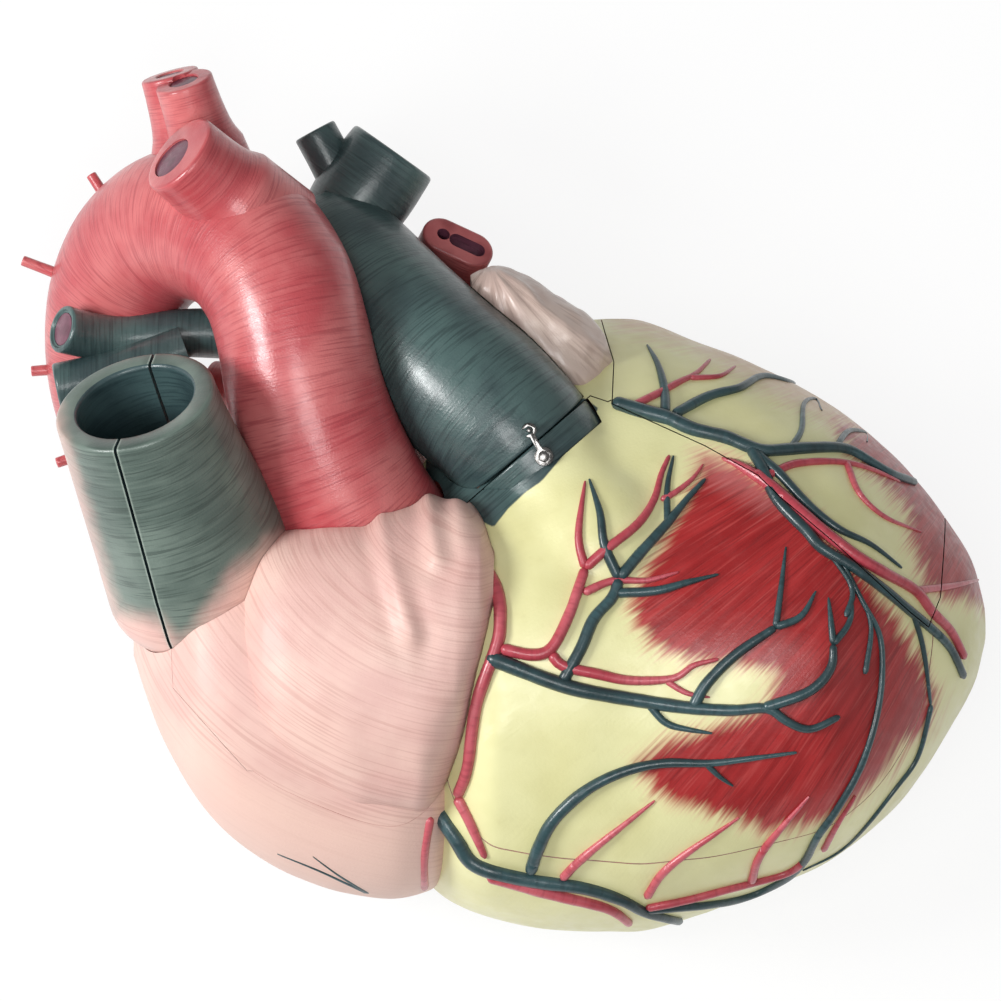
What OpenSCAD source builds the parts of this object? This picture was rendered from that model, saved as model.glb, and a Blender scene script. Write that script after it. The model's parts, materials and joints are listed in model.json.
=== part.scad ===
// Take-apart anatomy model of a human heart, several times life size, lying on its back.
// Shapes are drawn in a face frame: x to the right, y up the face, z out towards the viewer.
// lay() then leans that frame back onto the table, where the rest face is Z = 0.

/* [Lie] */
// Angle of the face above the table's vertical, 90 is flat on its back
lie_angle = 80; // [76:1:84]
// Height of the face frame's origin above the table
lie_height = 115; // [112:1:118]

/* [Walls and seams] */
// Thickness of the moulded chamber walls
wall = 11; // [8:0.5:14]
// Running gap at every seam between lift-off walls
seam_gap = 0.8; // [0.6:0.1:1.6]
// Depth of the front seam plane above the face frame's origin
seam_depth = 50; // [47:1:53]
// Depth of the left wall's rear seam
left_seam_depth = -72; // [-76:1:-66]
// Height of the painted vessels above the wall
relief = 2.6; // [1.6:0.2:3.6]

/* [Vena cava] */
// Outer diameter of the superior vena cava
svc_od = 78; // [72:1:82]
// Bore of the superior vena cava
svc_bore = 57; // [48:1:60]
// Length of the superior vena cava
svc_len = 126; // [115:1:135]
// Outer diameter of the lower vena cava collar
ivc_od = 54; // [46:1:58]
// Bore of the lower vena cava collar
ivc_bore = 38; // [30:1:40]

/* [Great arteries] */
// Wall of the aorta and of the pulmonary trunk
artery_wall = 8; // [6:0.5:10]
// Outer diameter of the conus ring under the trunk
conus_od = 73; // [70:0.5:74]
// Wall of the conus ring
conus_wall = 8.5; // [6.5:0.5:11]
// Height of the conus ring
conus_ring_h = 13; // [11:0.5:15]
// Open joint between the conus ring and the trunk
conus_gap = 2.4; // [1.6:0.2:3]
// Outer diameter of the front branch of the arch
front_branch_od = 45; // [40:1:48]
// Outer diameter of each rear branch of the arch
rear_branch_od = 28; // [24:1:29]
// Diameter of the dark disc in the front branch
plug_od = 22; // [17:0.5:24]
// Thickness of the end plugs
plug_t = 3; // [2:0.5:4]

/* [Veins of the lungs] */
// Outer diameter of each half of the left vein stub
left_vein_od = 20; // [18:0.5:22]
// Distance between the two halves of the left vein stub
left_vein_pitch = 16; // [13:0.5:18]
// Outer diameter of the right vein stubs
right_vein_od = 22; // [18:0.5:24]
// Bore of the right vein stubs
right_vein_bore = 12; // [8:0.5:14]

/* [Valves] */
// Bore of the two inflow valve rings
valve_bore = 42; // [36:1:46]
// Wall of the inflow valve rings
valve_ring_t = 4; // [3:0.5:5]
// Thickness of the valve flaps
flap_t = 1.6; // [1.2:0.1:2.4]
// Length of the inflow valve flaps
flap_len = 22; // [16:1:26]

/* [Pegs] */
// Diameter of the locating pegs
peg_d = 6; // [5:0.5:7]
// Free length of the locating pegs
peg_len = 5.5; // [4:0.5:6]
// Clearance between a peg and its socket, on the diameter
peg_clear = 0.8; // [0.6:0.1:1.2]
// Outer diameter of the peg bosses and sockets
boss_od = 13; // [12:0.5:15]

/* [Hook latch] */
// Distance from the hook's pivot to its catch pin
hook_reach = 14.3; // [13.5:0.1:16]
// Outer diameter of the round end at the pivot
hook_eye_od = 9; // [8:0.2:10]
// Outer diameter of the open end at the catch pin
hook_end_od = 7; // [6.6:0.1:7.6]
// Width of the shank
hook_shank_w = 2.6; // [2:0.1:3]
// Thickness of the hook
hook_t = 1.6; // [1.2:0.1:2]
// Diameter of the pivot and of the catch pin
pin_d = 2.4; // [2:0.1:2.8]
// Clearance of the pivot in the hook, on the diameter
pivot_clear = 0.16; // [0.1:0.02:0.2]
// Clearance of the catch pin in the open end, on the diameter
catch_clear = 1; // [0.8:0.1:1.2]
// Diameter of the pivot screw's head
screw_head_d = 5.2; // [4.6:0.1:6]

/* [Hidden] */

ring_n = 28;
far = 400;
conus_bore = conus_od - 2 * conus_wall;
fat = "khaki";
flesh = [0.93, 0.66, 0.62];
artery = [0.80, 0.33, 0.35];
vein = [0.22, 0.34, 0.33];
chrome = "silver";

// Chambers: each station is [place along x, top, bottom, front depth, rear depth].
ventricles = [
    [-44, 20, -160, 52, 46], [-36, 32, -180, 84, 56], [-20, 48, -193, 108, 64],
    [0, 68, -200, 120, 70], [26, 86, -205, 120, 72], [62, 87, -206, 118, 73],
    [95, 76, -198, 120, 73], [126, 64, -186, 122, 72], [150, 51, -176, 121, 68],
    [170, 37, -163, 114, 62], [187, 23, -149, 98, 54], [203, 6, -129, 78, 44],
    [216, -12, -106, 58, 33], [226, -30, -88, 38, 22], [232, -52, -68, 14, 9]];
ventricle_mid = -41;
ventricle_lean = 0.3;
right_atrium = [
    [-175, -60, -74, 10, 10], [-170, -46, -90, 36, 30], [-158, -28, -120, 62, 48],
    [-142, -16, -146, 80, 60], [-122, -10, -165, 86, 68], [-98, -8, -179, 87, 72],
    [-74, -8, -187, 87, 74], [-52, -10, -190, 86, 74], [-34, -20, -186, 80, 70],
    [-20, -40, -170, 66, 60]];
right_atrium_mid = -20;
auricle_lobe = [
    [-128, -40, -90, 22, 5], [-112, -18, -120, 44, 10], [-90, -10, -138, 52, 12],
    [-65, -7, -150, 56, 14], [-40, 0, -152, 58, 14], [-22, 2, -128, 58, 14],
    [-10, -6, -90, 54, 12], [-3, -20, -60, 44, 8]];
auricle_mid = 30;
left_atrium_body = [
    [-125, 60, 0, 10, 10], [-112, 78, -15, 34, 26], [-90, 90, -25, 44, 36],
    [-60, 98, -28, 48, 40], [-30, 104, -28, 50, 42], [0, 106, -20, 50, 42],
    [28, 98, 0, 40, 34], [44, 84, 20, 14, 14]];
left_atrium_mid = -70;
left_lobe = [
    [-14, 108, 92, 12, 12], [-2, 112, 80, 22, 18], [12, 107, 66, 27, 20],
    [27, 98, 52, 28, 20], [40, 90, 44, 25, 18], [48, 82, 44, 18, 14], [53, 72, 54, 8, 8]];
left_lobe_mid = -15;

// Tubes: each point is [x, y, z, outer radius].
aorta_path = [
    [-30, -52, -14, 28], [-44, -38, -4, 33], [-58, -20, 8, 38], [-71, -2, 16, 39],
    [-84, 25, 22, 38.5], [-93, 52, 25, 37.5], [-99, 80, 25, 36.5], [-106, 102, 20, 36.5],
    [-119, 121, 8, 37], [-136, 131, -8, 37.5], [-155, 131, -26, 36.5], [-172, 119, -44, 35],
    [-183, 100, -58, 33], [-187, 78, -68, 31.5], [-185, 55, -74, 31], [-177, 28, -77, 30.5]];
trunk_path = [
    [-11, 49, 10, 38], [-23, 60, 5, 37.5], [-36, 73, -3, 36],
    [-49, 87, -12, 34.5], [-62, 103, -24, 32], [-74, 118, -36, 29.5], [-82, 130, -48, 26]];
left_lung_path = [[-80, 128, -46, 20], [-66, 146, -46, 23.5], [-51, 167, -46, 22.5]];
left_lung_side = [[-72, 142, -46, 10], [-81, 162, -46, 10.5], [-89, 177, -46, 10.5]];
right_lung_upper = [
    [-24, 80, -22, 14], [-60, 79, -28, 14], [-100, 79, -30, 13], [-150, 80, -30, 11.6],
    [-180, 77.5, -29, 10.8], [-197, 79, -24, 11], [-209.5, 82, -17, 11.5]];
right_lung_lower = [[-150, 72, -22, 12], [-184, 60, -22, 12], [-212, 54, -22, 11.5]];
conus_path = [
    [19, 17, 15, conus_od / 2], [22, 13, 15, conus_od / 2], [27, 4, 18, conus_od / 2 + 1],
    [35, -9, 22, conus_od / 2 + 3.5], [46, -25, 25, conus_od / 2 + 9.5]];
conus_axis = [-0.656, 0.755, 0];
conus_place = [13, 24, 15];

svc_axis = [-0.231, 0.806, 0.545];
svc_rim = [-173, 47, 75];
svc_seam = [0.946, 0.054, 0.322];
ivc_place = [-105, -120];
ivc_low = -130;
ivc_len = 60;
left_vein_place = [-20, 124, -40];
left_vein_axis = [0.3, 0.55, 0.78];
right_vein_places = [[-112, 52, -92], [-110, -2, -90]];
right_vein_axis = [-0.9, 0.15, -0.4];
right_vein_len = 30;

// The left wall's outline on the face: its lower edge follows the groove between the ventricles.
left_outline = [
    [53, 46], [54, 66], [50, 80], [40, 120], [240, 120], [240, 10], [213, -3], [209, -46],
    [203, -60], [193, -52], [157, -19], [132, 2], [122, 12], [97, 26]];
// The upper zone of the front wall, around the vena cava and the right auricle.
upper_outline = [
    [-230, 120], [-230, -40], [-165, -78], [-120, -128], [-20, -128], [-20, 20], [-100, 120]];
// The zones of the front wall between the right auricle and the groove: [outline, depth of the cut].
conus_zones = [
    [[[-28, -60], [86, -60], [86, 44], [58, 50], [51, 47], [42, 50], [-20, 8]], -6],
    [[[60, -60], [150, -60], [150, 10], [110, 40], [70, 50]], 17]];
seam_slope = 0.08;
upper_seam_depth = 0;

peg_places = [[-6, -138], [70, -152], [176, -90]];
left_peg_places = [[74, 65.5], [166, 16]];
boss_len = 9;
socket_len = peg_len + 1.8;
pivot_place = [20.5, 20.8];
catch_turn = atan2(12.6, -7);

// ---------- frame, sections and skins ----------

module lay() { translate([0, 0, lie_height]) rotate([90 - lie_angle, 0, 0]) children(); }

// Everything under the table, in the face frame.
module table() {
    rotate([lie_angle - 90, 0, 0]) translate([-far, -far, -lie_height - far]) cube([2 * far, 2 * far, far]);
}

function bulge(x) = sign(x) * pow(abs(x), 2 / 2.4);

// One cross-section of a chamber at station s, taken in by inset.
function section(s, x, mid, lean, inset) =
    let (half = max(1, (s[1] - s[2]) / 2 - inset), middle = (s[1] + s[2]) / 2)
    [for (i = [0 : ring_n - 1])
        let (t = 360 * i / ring_n, y = half * bulge(cos(t)),
             deep = max(1, (sin(t) > 0 ? s[3] : s[4]) - inset))
        [x, middle + y, mid + deep * bulge(sin(t)) - lean * max(0, y)]];

function sections(list, mid, lean, inset) =
    let (first = list[0][0], last = list[len(list) - 1][0], centre = (first + last) / 2,
         squeeze = (last - first - 2 * inset) / (last - first))
    [for (s = list) section(s, centre + (s[0] - centre) * squeeze, mid, lean, inset)];

// A closed skin over a row of rings.
module skin(rings) {
    for (i = [0 : len(rings) - 2]) {
        both = concat(rings[i], rings[i + 1]);
        hull() polyhedron(points = both, faces = [[for (k = [0 : len(both) - 1]) k]]);
    }
}

function unit(a) = a / norm(a);

// A ring of radius r about p, square to the direction a.
function hoop(p, a, r, n) =
    let (side = unit(cross(a, abs(a[2]) < 0.9 ? [0, 0, 1] : [0, 1, 0])), up = cross(side, unit(a)))
    [for (i = [0 : n - 1]) p + r * (cos(360 * i / n) * side + sin(360 * i / n) * up)];

function place_of(p) = [p[0], p[1], p[2]];

function heading(path, i) =
    unit(place_of(path[min(i + 1, len(path) - 1)]) - place_of(path[max(i - 1, 0)]));

// The rings of a bent tube; grow widens it, and reach lengthens both ends.
function tube_rings(path, grow = 0, reach = 0, n = 20) =
    let (last = len(path) - 1)
    [for (i = [0 : last])
        let (a = heading(path, i), push = i == 0 ? -reach : i == last ? reach : 0)
        hoop(place_of(path[i]) + push * a, a, path[i][3] + grow, n)];

module tube(path, grow = 0, reach = 0, n = 20) { skin(tube_rings(path, grow, reach, n)); }

// Turns z onto the direction a, with the origin moved to p.
module aim(p, a) {
    translate(p) rotate([0, acos(unit(a)[2]), atan2(a[1], a[0])]) children();
}

module ventricle_skin(inset = 0) { skin(sections(ventricles, ventricle_mid, ventricle_lean, inset)); }
module right_atrium_skin(inset = 0) { skin(sections(right_atrium, right_atrium_mid, 0, inset)); }
module left_atrium_skin(inset = 0) { skin(sections(left_atrium_body, left_atrium_mid, 0, inset)); }

// ---------- where each lift-off wall reaches ----------

module left_zone(grow) {
    translate([0, 0, left_seam_depth - grow]) linear_extrude(far) offset(delta = grow) polygon(left_outline);
}

module front_zone(grow) {
    difference() {
        intersection() {
            union() {
                // in front of the leaning seam plane
                rotate([0, atan(seam_slope), 0]) translate([-far, -far, seam_depth - grow]) cube(2 * far);
                translate([0, 0, upper_seam_depth - grow]) linear_extrude(far)
                    offset(delta = grow) polygon(upper_outline);
                for (zone = conus_zones) translate([0, 0, zone[1] - grow]) linear_extrude(far)
                    offset(delta = grow) polygon(zone[0]);
                // round the conus, and everything in front of it
                hull() for (lift = [0, 120]) translate([0, 0, lift]) aim(conus_place, conus_axis)
                    translate([0, 0, -42]) cylinder(h = 42 + grow, d = conus_od + 1 + 2 * grow, $fn = 32);
            }
            svc_seam_side(grow);
            below_conus(grow);
        }
        // nothing of it lies behind the aorta
        for (i = [0 : 7]) hull() for (drop = [0, -150]) translate([0, 0, drop])
            skin([aorta_shadow(grow)[i], aorta_shadow(grow)[i + 1]]);
    }
}

function aorta_shadow(grow) = tube_rings(aorta_path, aorta_room - 0.1 - grow);

// The half space on the front side of the vena cava's seam.
module svc_seam_side(grow) { aim(svc_rim, svc_seam) translate([-far, -far, -grow]) cube(2 * far); }

// The half space under the conus ring's upper face; wide of the ring it stops at its sides.
module below_conus(grow) {
    difference() {
        translate([-far, -far, -far]) cube(2 * far);
        aim(conus_place, conus_axis) translate([0, 0, grow]) cylinder(h = far, r = conus_od / 2 + 15.5, $fn = 32);
    }
}

module front_part() {
    difference() {
        intersection() {
            children();
            front_zone(-seam_gap / 2);
        }
        left_zone(seam_gap / 2);
    }
}

module left_part() {
    intersection() {
        children();
        left_zone(-seam_gap / 2);
    }
}

module rear_part() {
    difference() {
        children();
        front_zone(seam_gap / 2);
        left_zone(seam_gap / 2);
        table();
    }
}

// ---------- hollow chambers ----------

// Room left round the aorta where the lift-off walls pass it.
aorta_room = 1.4;
// Room left round the vena cava in the walls that carry it.
svc_room = 0.5;

module great_vessels(grow) {
    tube(aorta_path, grow);
    trunk_skin(grow);
    svc_solid(grow);
}

module svc_solid(grow) {
    aim(svc_rim, svc_axis) translate([0, 0, -svc_len]) cylinder(h = svc_len, d = svc_od + 2 * grow, $fn = 48);
}

module ventricle_hollow() {
    difference() {
        ventricle_skin(wall);
        translate([0, 0, wall]) table();
    }
}

module ventricle_solid() {
    difference() {
        union() {
            ventricle_skin();
            tube(conus_path, 0, 0, 24);
        }
        ventricle_hollow();
        tube(conus_path, (conus_bore - conus_od) / 2, 6, 24);
        tube(aorta_path, aorta_room, 8);
        trunk_skin(0.05);
        aim(tricuspid_place, [1, 0, 0]) valve_seat();
        aim(mitral_place, [1, 0, 0]) valve_seat();
        boss_room();
    }
}

module right_atrium_solid() {
    difference() {
        right_atrium_skin();
        right_atrium_skin(wall);
        ventricle_skin(-0.05);
        tube(aorta_path, aorta_room);
        trunk_skin(0.05);
        svc_solid(svc_room);
        translate([ivc_place[0], ivc_place[1], ivc_low]) cylinder(h = ivc_len + 10, d = ivc_od + 0.3, $fn = 40);
    }
}

module left_atrium_solid() {
    difference() {
        left_atrium_skin();
        left_atrium_skin(wall);
        ventricle_skin(-0.05);
        right_atrium_skin(-0.05);
        great_vessels(0.05);
        tube(right_lung_upper, 0.2);
        for (p = right_vein_places) aim(p, right_vein_axis)
            translate([0, 0, -30]) cylinder(h = 60, d = right_vein_od + 0.3, $fn = 32);
    }
}

tricuspid_place = [-38, -98, -22];
mitral_place = [-38, -8, -62];
valve_seat_h = 16;

module valve_seat() {
    translate([0, 0, -valve_seat_h / 2]) cylinder(h = valve_seat_h, d = valve_bore + 2 * valve_ring_t + 0.3, $fn = 36);
}

module ventricle_shell() { lay() color(fat) rear_part() ventricle_solid(); }
module right_ventricle_wall() {
    lay() color(fat) difference() {
        front_part() ventricle_solid();
        conus_ring_place() cylinder(h = conus_ring_h + 0.01, d = conus_od + 8, $fn = 32);
    }
}
module left_ventricle_wall() { lay() color(fat) left_part() ventricle_solid(); }
module right_atrium_back() { lay() color(flesh) rear_part() right_atrium_solid(); }
module right_atrium_wall() { lay() color(flesh) front_part() right_atrium_solid(); }
module left_atrium() { lay() color(flesh) rear_part() left_atrium_solid(); }

module right_auricle() {
    lay() color(flesh) front_part() difference() {
        skin(sections(auricle_lobe, auricle_mid, 0, 0));
        right_atrium_skin();
        ventricle_skin(-relief);
        svc_solid(0.3);
        tube(aorta_path, 1);
        trunk_skin(1);
        aim(conus_place, conus_axis) translate([0, 0, -30]) cylinder(h = 60, d = conus_od + 1, $fn = 32);
    }
}

module left_auricle() {
    lay() color(flesh) difference() {
        skin(sections(left_lobe, left_lobe_mid, 0, 0));
        ventricle_skin(-0.4);
        left_atrium_skin(0);
        trunk_skin(0.1);
        left_zone(seam_gap);
    }
}

// The wall between the two ventricles, from the groove to the back.
septum_t = 12;
septum_front = [[206, -62, 14], [160, -24, 40], [124, 6, 46], [88, 24, 34], [46, 14, -22], [-6, -44, -12]];
septum_rear = [[200, -72, -90], [150, -72, -120], [105, -70, -120], [60, -68, -120], [20, -70, -120], [-14, -84, -120]];
module septum() {
    lay() color("firebrick") difference() {
        intersection() {
            for (i = [0 : len(septum_front) - 2]) hull() for (k = [i, i + 1], side = [0, 1])
                translate(side == 0 ? septum_front[k] : septum_rear[k]) sphere(d = septum_t, $fn = 12);
            ventricle_skin(wall + 0.3);
        }
        translate([0, 0, wall + 0.3]) table();
        tube(aorta_path, 0.5, 2);
        tube(conus_path, 1);
        trunk_skin(1);
        aim(tricuspid_place, [1, 0, 0]) cylinder(h = 60, d = valve_bore + 4, center = true, $fn = 24);
        boss_room();
        front_zone(seam_gap);
        left_zone(seam_gap);
    }
}

// ---------- great arteries ----------

module aorta() {
    lay() color(artery) difference() {
        tube(aorta_path);
        tube(aorta_path, -artery_wall, 3);
    }
}

// The branch at the front of the arch, and the pair behind it: each is [end, heading].
arch_front = [[-153, 165, 34], [-0.70, 0.58, 0.42]];
// Its disc sits off centre.
arch_front_seat = [[-156.2, 162.8, 31.7], [-0.70, 0.58, 0.42]];
arch_rear = [[[-158, 203.5, -16], [-0.27, 0.95, 0.15]], [[-151, 200, 2], [-0.30, 0.90, 0.32]]];
arch_branch_len = 66;
rear_plug_od = 13.5;

// A branch drawn back from its end; its far end is buried in the arch and cut away there.
module branch(at, od, base_od) {
    aim(at[0], at[1]) translate([0, 0, -arch_branch_len])
        cylinder(h = arch_branch_len, d1 = base_od, d2 = od, $fn = 36);
}

module plug_seat(at, d) {
    aim(at[0], at[1]) translate([0, 0, -plug_t]) cylinder(h = plug_t + 4, d = d + 0.3, $fn = 32);
}

module arch_front_branch() {
    lay() color(artery) difference() {
        branch(arch_front, front_branch_od - 3, front_branch_od);
        plug_seat(arch_front_seat, plug_od);
        tube(aorta_path);
        for (at = arch_rear) branch(at, rear_branch_od, rear_branch_od + 12);
    }
}

module arch_rear_branches() {
    lay() color(artery) difference() {
        union() for (at = arch_rear) branch(at, rear_branch_od, rear_branch_od + 12);
        for (at = arch_rear) plug_seat(at, rear_plug_od);
        tube(aorta_path);
    }
}

module end_plug(at, d) {
    aim(at[0], at[1]) translate([0, 0, -plug_t]) cylinder(h = plug_t - 0.8, d = d);
}

module arch_end_plugs() {
    lay() color("indigo") {
        end_plug(arch_front_seat, plug_od);
        for (at = arch_rear) end_plug(at, rear_plug_od);
    }
}

// Small branches off the back of the aorta: each is [tip, a point inside the aorta].
intercostals = [
    [[-196, 156, -50], [-172, 119, -44]], [[-229, 115, -62], [-184, 98, -58]],
    [[-225, 62, -70], [-187, 65, -69]], [[-213, 18, -74], [-178, 30, -77]]];
intercostal_d = 5;

module rod(a, b, d) {
    aim(a, b - a) cylinder(h = norm(b - a), d = d, $fn = 16);
}

module intercostal_stubs() {
    lay() color(artery) difference() {
        for (s = intercostals) rod(s[0], s[1], intercostal_d);
        tube(aorta_path);
    }
}

trunk_start = conus_place + conus_gap * conus_axis;
trunk_straight_len = 15;
trunk_swell = 0.7;
trunk_bore_len = 23;
trunk_straight = trunk_start + trunk_straight_len * conus_axis;
trunk_route = concat([
    [trunk_start[0], trunk_start[1], trunk_start[2], conus_od / 2],
    [trunk_straight[0], trunk_straight[1], trunk_straight[2], conus_od / 2 + trunk_swell]], trunk_path);

module trunk_skin(grow = 0) { tube(trunk_route, grow); }

module pulmonary_trunk() {
    lay() color(vein) difference() {
        trunk_skin();
        aim(trunk_start, conus_axis) translate([0, 0, -5]) cylinder(h = trunk_bore_len + 5, d = conus_bore, $fn = 40);
        tube([for (i = [1 : 7]) trunk_route[i]], -artery_wall, 3);
        tube(aorta_path, 0.3);
    }
}

module left_lung_artery() {
    lay() color(vein) difference() {
        union() {
            tube(left_lung_path);
            tube(left_lung_side);
        }
        trunk_skin();
        tube(aorta_path, 0.3);
    }
}

lung_plug_od = 16;
lung_plugs = [[[-209.5, 82, -17], [-12.5, 3, 7]], [[-212, 54, -22], [-28, -6, 0]]];

module right_lung_arteries() {
    lay() color(vein) difference() {
        union() {
            tube(right_lung_upper);
            tube(right_lung_lower);
        }
        trunk_skin();
        tube(aorta_path, 0.3);
        svc_solid(0.4);
        for (at = lung_plugs) plug_seat(at, lung_plug_od);
    }
}

module lung_artery_plugs() { lay() color("indigo") for (at = lung_plugs) end_plug(at, lung_plug_od); }

// ---------- veins ----------

module vena_cava_tube() {
    aim(svc_rim, svc_axis) translate([0, 0, -svc_len]) difference() {
        cylinder(h = svc_len, d = svc_od);
        translate([0, 0, -1]) cylinder(h = svc_len + 2, d = svc_bore);
    }
}

module vena_cava_front() {
    lay() color(vein) intersection() {
        vena_cava_tube();
        svc_seam_side(-seam_gap / 2);
    }
}

module vena_cava_rear() {
    lay() color(vein) difference() {
        vena_cava_tube();
        svc_seam_side(seam_gap / 2);
    }
}

module lower_vena_cava() {
    lay() color(vein) difference() {
        translate([ivc_place[0], ivc_place[1], ivc_low]) difference() {
            cylinder(h = ivc_len, d = ivc_od);
            translate([0, 0, -1]) cylinder(h = ivc_len + 2, d = ivc_bore);
        }
        table();
    }
}

left_vein_side = [0.905, -0.42, -0.05];
left_vein_len = 48;

module left_lung_veins() {
    lay() color(artery) difference() {
        hull() for (k = [-0.5, 0.5]) aim(left_vein_place + k * left_vein_pitch * left_vein_side, left_vein_axis)
            translate([0, 0, -left_vein_len]) cylinder(h = left_vein_len, d = left_vein_od, $fn = 32);
        aim(left_vein_place - 0.5 * left_vein_pitch * left_vein_side, left_vein_axis)
            translate([0, 0, -14]) cylinder(h = 20, d = 6);
        aim(left_vein_place + 0.45 * left_vein_pitch * left_vein_side, left_vein_axis)
            translate([0, 0, -14]) cylinder(h = 20, d = 10);
        left_atrium_skin();
        trunk_skin(0.3);
    }
}

module right_lung_veins() {
    lay() color(artery) for (p = right_vein_places) aim(p, right_vein_axis) difference() {
        translate([0, 0, -8]) cylinder(h = right_vein_len + 8, d = right_vein_od);
        translate([0, 0, -9]) cylinder(h = right_vein_len + 10, d = right_vein_bore);
    }
}

// ---------- valves and what holds them ----------

// A ring with a funnel of flaps that points along z; count slots part the flaps.
module flap_valve(od, bore, ring_h, tip, length, count) {
    difference() {
        rotate_extrude() polygon([
            [od / 2, -ring_h / 2], [od / 2, ring_h / 2], [bore / 2, ring_h / 2],
            [tip / 2 + flap_t, ring_h / 2 + length], [tip / 2, ring_h / 2 + length],
            [bore / 2 - flap_t, ring_h / 2 - 2], [bore / 2 - flap_t, -ring_h / 2]]);
        for (k = [0 : count - 1]) rotate([0, 0, 360 * k / count + 30])
            translate([0, -1, ring_h / 2 + 2]) cube([od, 2, length]);
    }
}

module inflow_valve(count) {
    flap_valve(valve_bore + 2 * valve_ring_t, valve_bore, 12, 0.66 * valve_bore, flap_len, count);
}

module tricuspid_valve() { lay() color("wheat") aim(tricuspid_place, [1, 0, 0]) inflow_valve(3); }
module mitral_valve() { lay() color("wheat") aim(mitral_place, [1, 0, 0]) inflow_valve(2); }

outflow_fit = 1.4;
module outflow_valve(bore) { flap_valve(bore - outflow_fit, bore - 6, 8, 5, 12, 3); }

module pulmonary_valve() {
    lay() color("wheat") aim(trunk_start, conus_axis) translate([0, 0, 6]) outflow_valve(conus_bore);
}

aortic_valve_place = [-48, -33, 0];
aortic_valve_axis = [-14, 17, 12];
module aortic_valve() { lay() color("wheat") aim(aortic_valve_place, aortic_valve_axis) outflow_valve(50); }

// Each muscle is [foot in the wall, tip, foot width].
muscles = [
    [[100, -178, -10], [36, -128, -2], 22], [[96, -120, -104], [38, -104, -34], 20],
    [[150, 20, -96], [44, 6, -62], 20], [[140, -40, -118], [42, -12, -72], 18]];

module papillary_muscles() {
    lay() color("indianred") intersection() {
        union() for (m = muscles) {
            mid = (m[0] + m[1]) / 2;
            hull() for (at = [[m[0], m[2]], [mid, m[2] * 0.7]]) translate(at[0]) sphere(d = at[1], $fn = 12);
            hull() for (at = [[mid, m[2] * 0.7], [m[1], 7]]) translate(at[0]) sphere(d = at[1], $fn = 12);
        }
        difference() {
            ventricle_skin(wall + 0.3);
            translate([0, 0, wall + 0.3]) table();
        }
    }
}

cord_d = 1.6;
module valve_cords() {
    lay() color("wheat") for (m = muscles, k = [-1, 0, 1]) {
        valve = m[1][1] < -60 ? tricuspid_place : mitral_place;
        edge = valve + [flap_len + 7.5, k * 10, m[1][2] < valve[2] ? -9 : 9];
        pull = unit(edge - m[1]);
        rod(m[1] + 4.2 * pull, edge, cord_d);
    }
}

// ---------- painted vessels on the ventricles ----------

// Each route is [width, points on the face].
vein_routes = [
    [5, [[-6, -74], [23, -85], [40, -90], [69, -95], [91, -98], [126, -98], [146, -108], [160, -102]]],
    [4.4, [[29, -84], [44, -56], [56, -37], [49, -21], [47, -6], [42, 10]]],
    [4, [[56, -37], [65, -26], [79, -11], [88, 0], [97, 10]]], [4, [[56, -45], [88, -39], [103, -35]]],
    [4.4, [[92, -95], [111, -73], [130, -60], [149, -43]]],
    [4, [[126, -97], [146, -90], [156, -79], [157, -68], [166, -42]]],
    [4.4, [[16, -170], [25, -151], [40, -137], [58, -128], [99, -124], [140, -119]]],
    [5.4, [[-30, -145], [-20, -160], [-11, -172], [14, -179], [40, -183], [69, -195], [86, -200]]],
    [4, [[159, -24], [171, -48], [179, -64], [180, -84], [177, -104], [170, -126], [159, -146], [144, -171],
         [110, -190], [69, -194]]],
    [5, [[57, 45], [69, 41], [91, 33], [122, 23], [163, 24], [175, 18], [198, 8]]],
    [4, [[78, 40], [78, 51], [70, 74]]], [4, [[84, 39], [99, 49], [125, 59], [141, 56]]],
    [4, [[122, 21], [146, -3], [175, -21], [190, -32]]],
    [5, [[131, 0], [152, -23], [182, -43], [204, -61], [220, -84]]]];
artery_routes = [
    [4.6, [[1, -37], [0, -60], [-11, -97], [-15, -126], [-17, -140], [-7, -169]]],
    [4.2, [[0, -70], [15, -73], [32, -55], [40, -32], [37, -17], [40, 9]]],
    [4, [[40, -32], [65, -11], [73, 1], [80, 21]]], [3.6, [[41, -43], [53, -38], [69, -38], [84, -34]]],
    [3.6, [[29, -78], [46, -82], [61, -85], [82, -84], [103, -75]]],
    [3.8, [[73, -142], [40, -168], [29, -179]]], [3.8, [[113, -150], [80, -173], [69, -188]]],
    [3.8, [[146, -140], [124, -166], [119, -181]]],
    [5, [[-6, -180], [25, -188], [51, -196], [62, -203]]], [4.4, [[69, -197], [108, -190], [135, -180]]],
    [4.6, [[111, 15], [122, 7], [132, -3], [149, -17], [167, -33], [182, -49], [196, -60], [214, -75]]],
    [4, [[130, 13], [140, 17], [175, 13], [190, 6]]], [3.8, [[164, 13], [182, -8], [200, -15]]],
    [3.8, [[62, 44], [85, 56], [100, 67]]]];

relief_floor = -26;

module strokes(routes, grow) {
    for (r = routes, i = [0 : len(r[1]) - 2]) hull()
        for (p = [r[1][i], r[1][i + 1]]) translate(p) circle(d = r[0] + grow, $fn = 8);
}

module relief_of(routes, others) {
    difference() {
        intersection() {
            ventricle_skin(-relief);
            translate([0, 0, relief_floor]) linear_extrude(far) strokes(routes, 0);
        }
        ventricle_skin();
        if (others) translate([0, 0, relief_floor - 1]) linear_extrude(far) strokes(others, 0.6);
        right_atrium_skin();
        skin(sections(auricle_lobe, auricle_mid, 0, -0.4));
        skin(sections(left_lobe, left_lobe_mid, 0, -0.6));
        tube(conus_path, 0.4, 0, 24);
        trunk_skin(0.5);
    }
}

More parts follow.
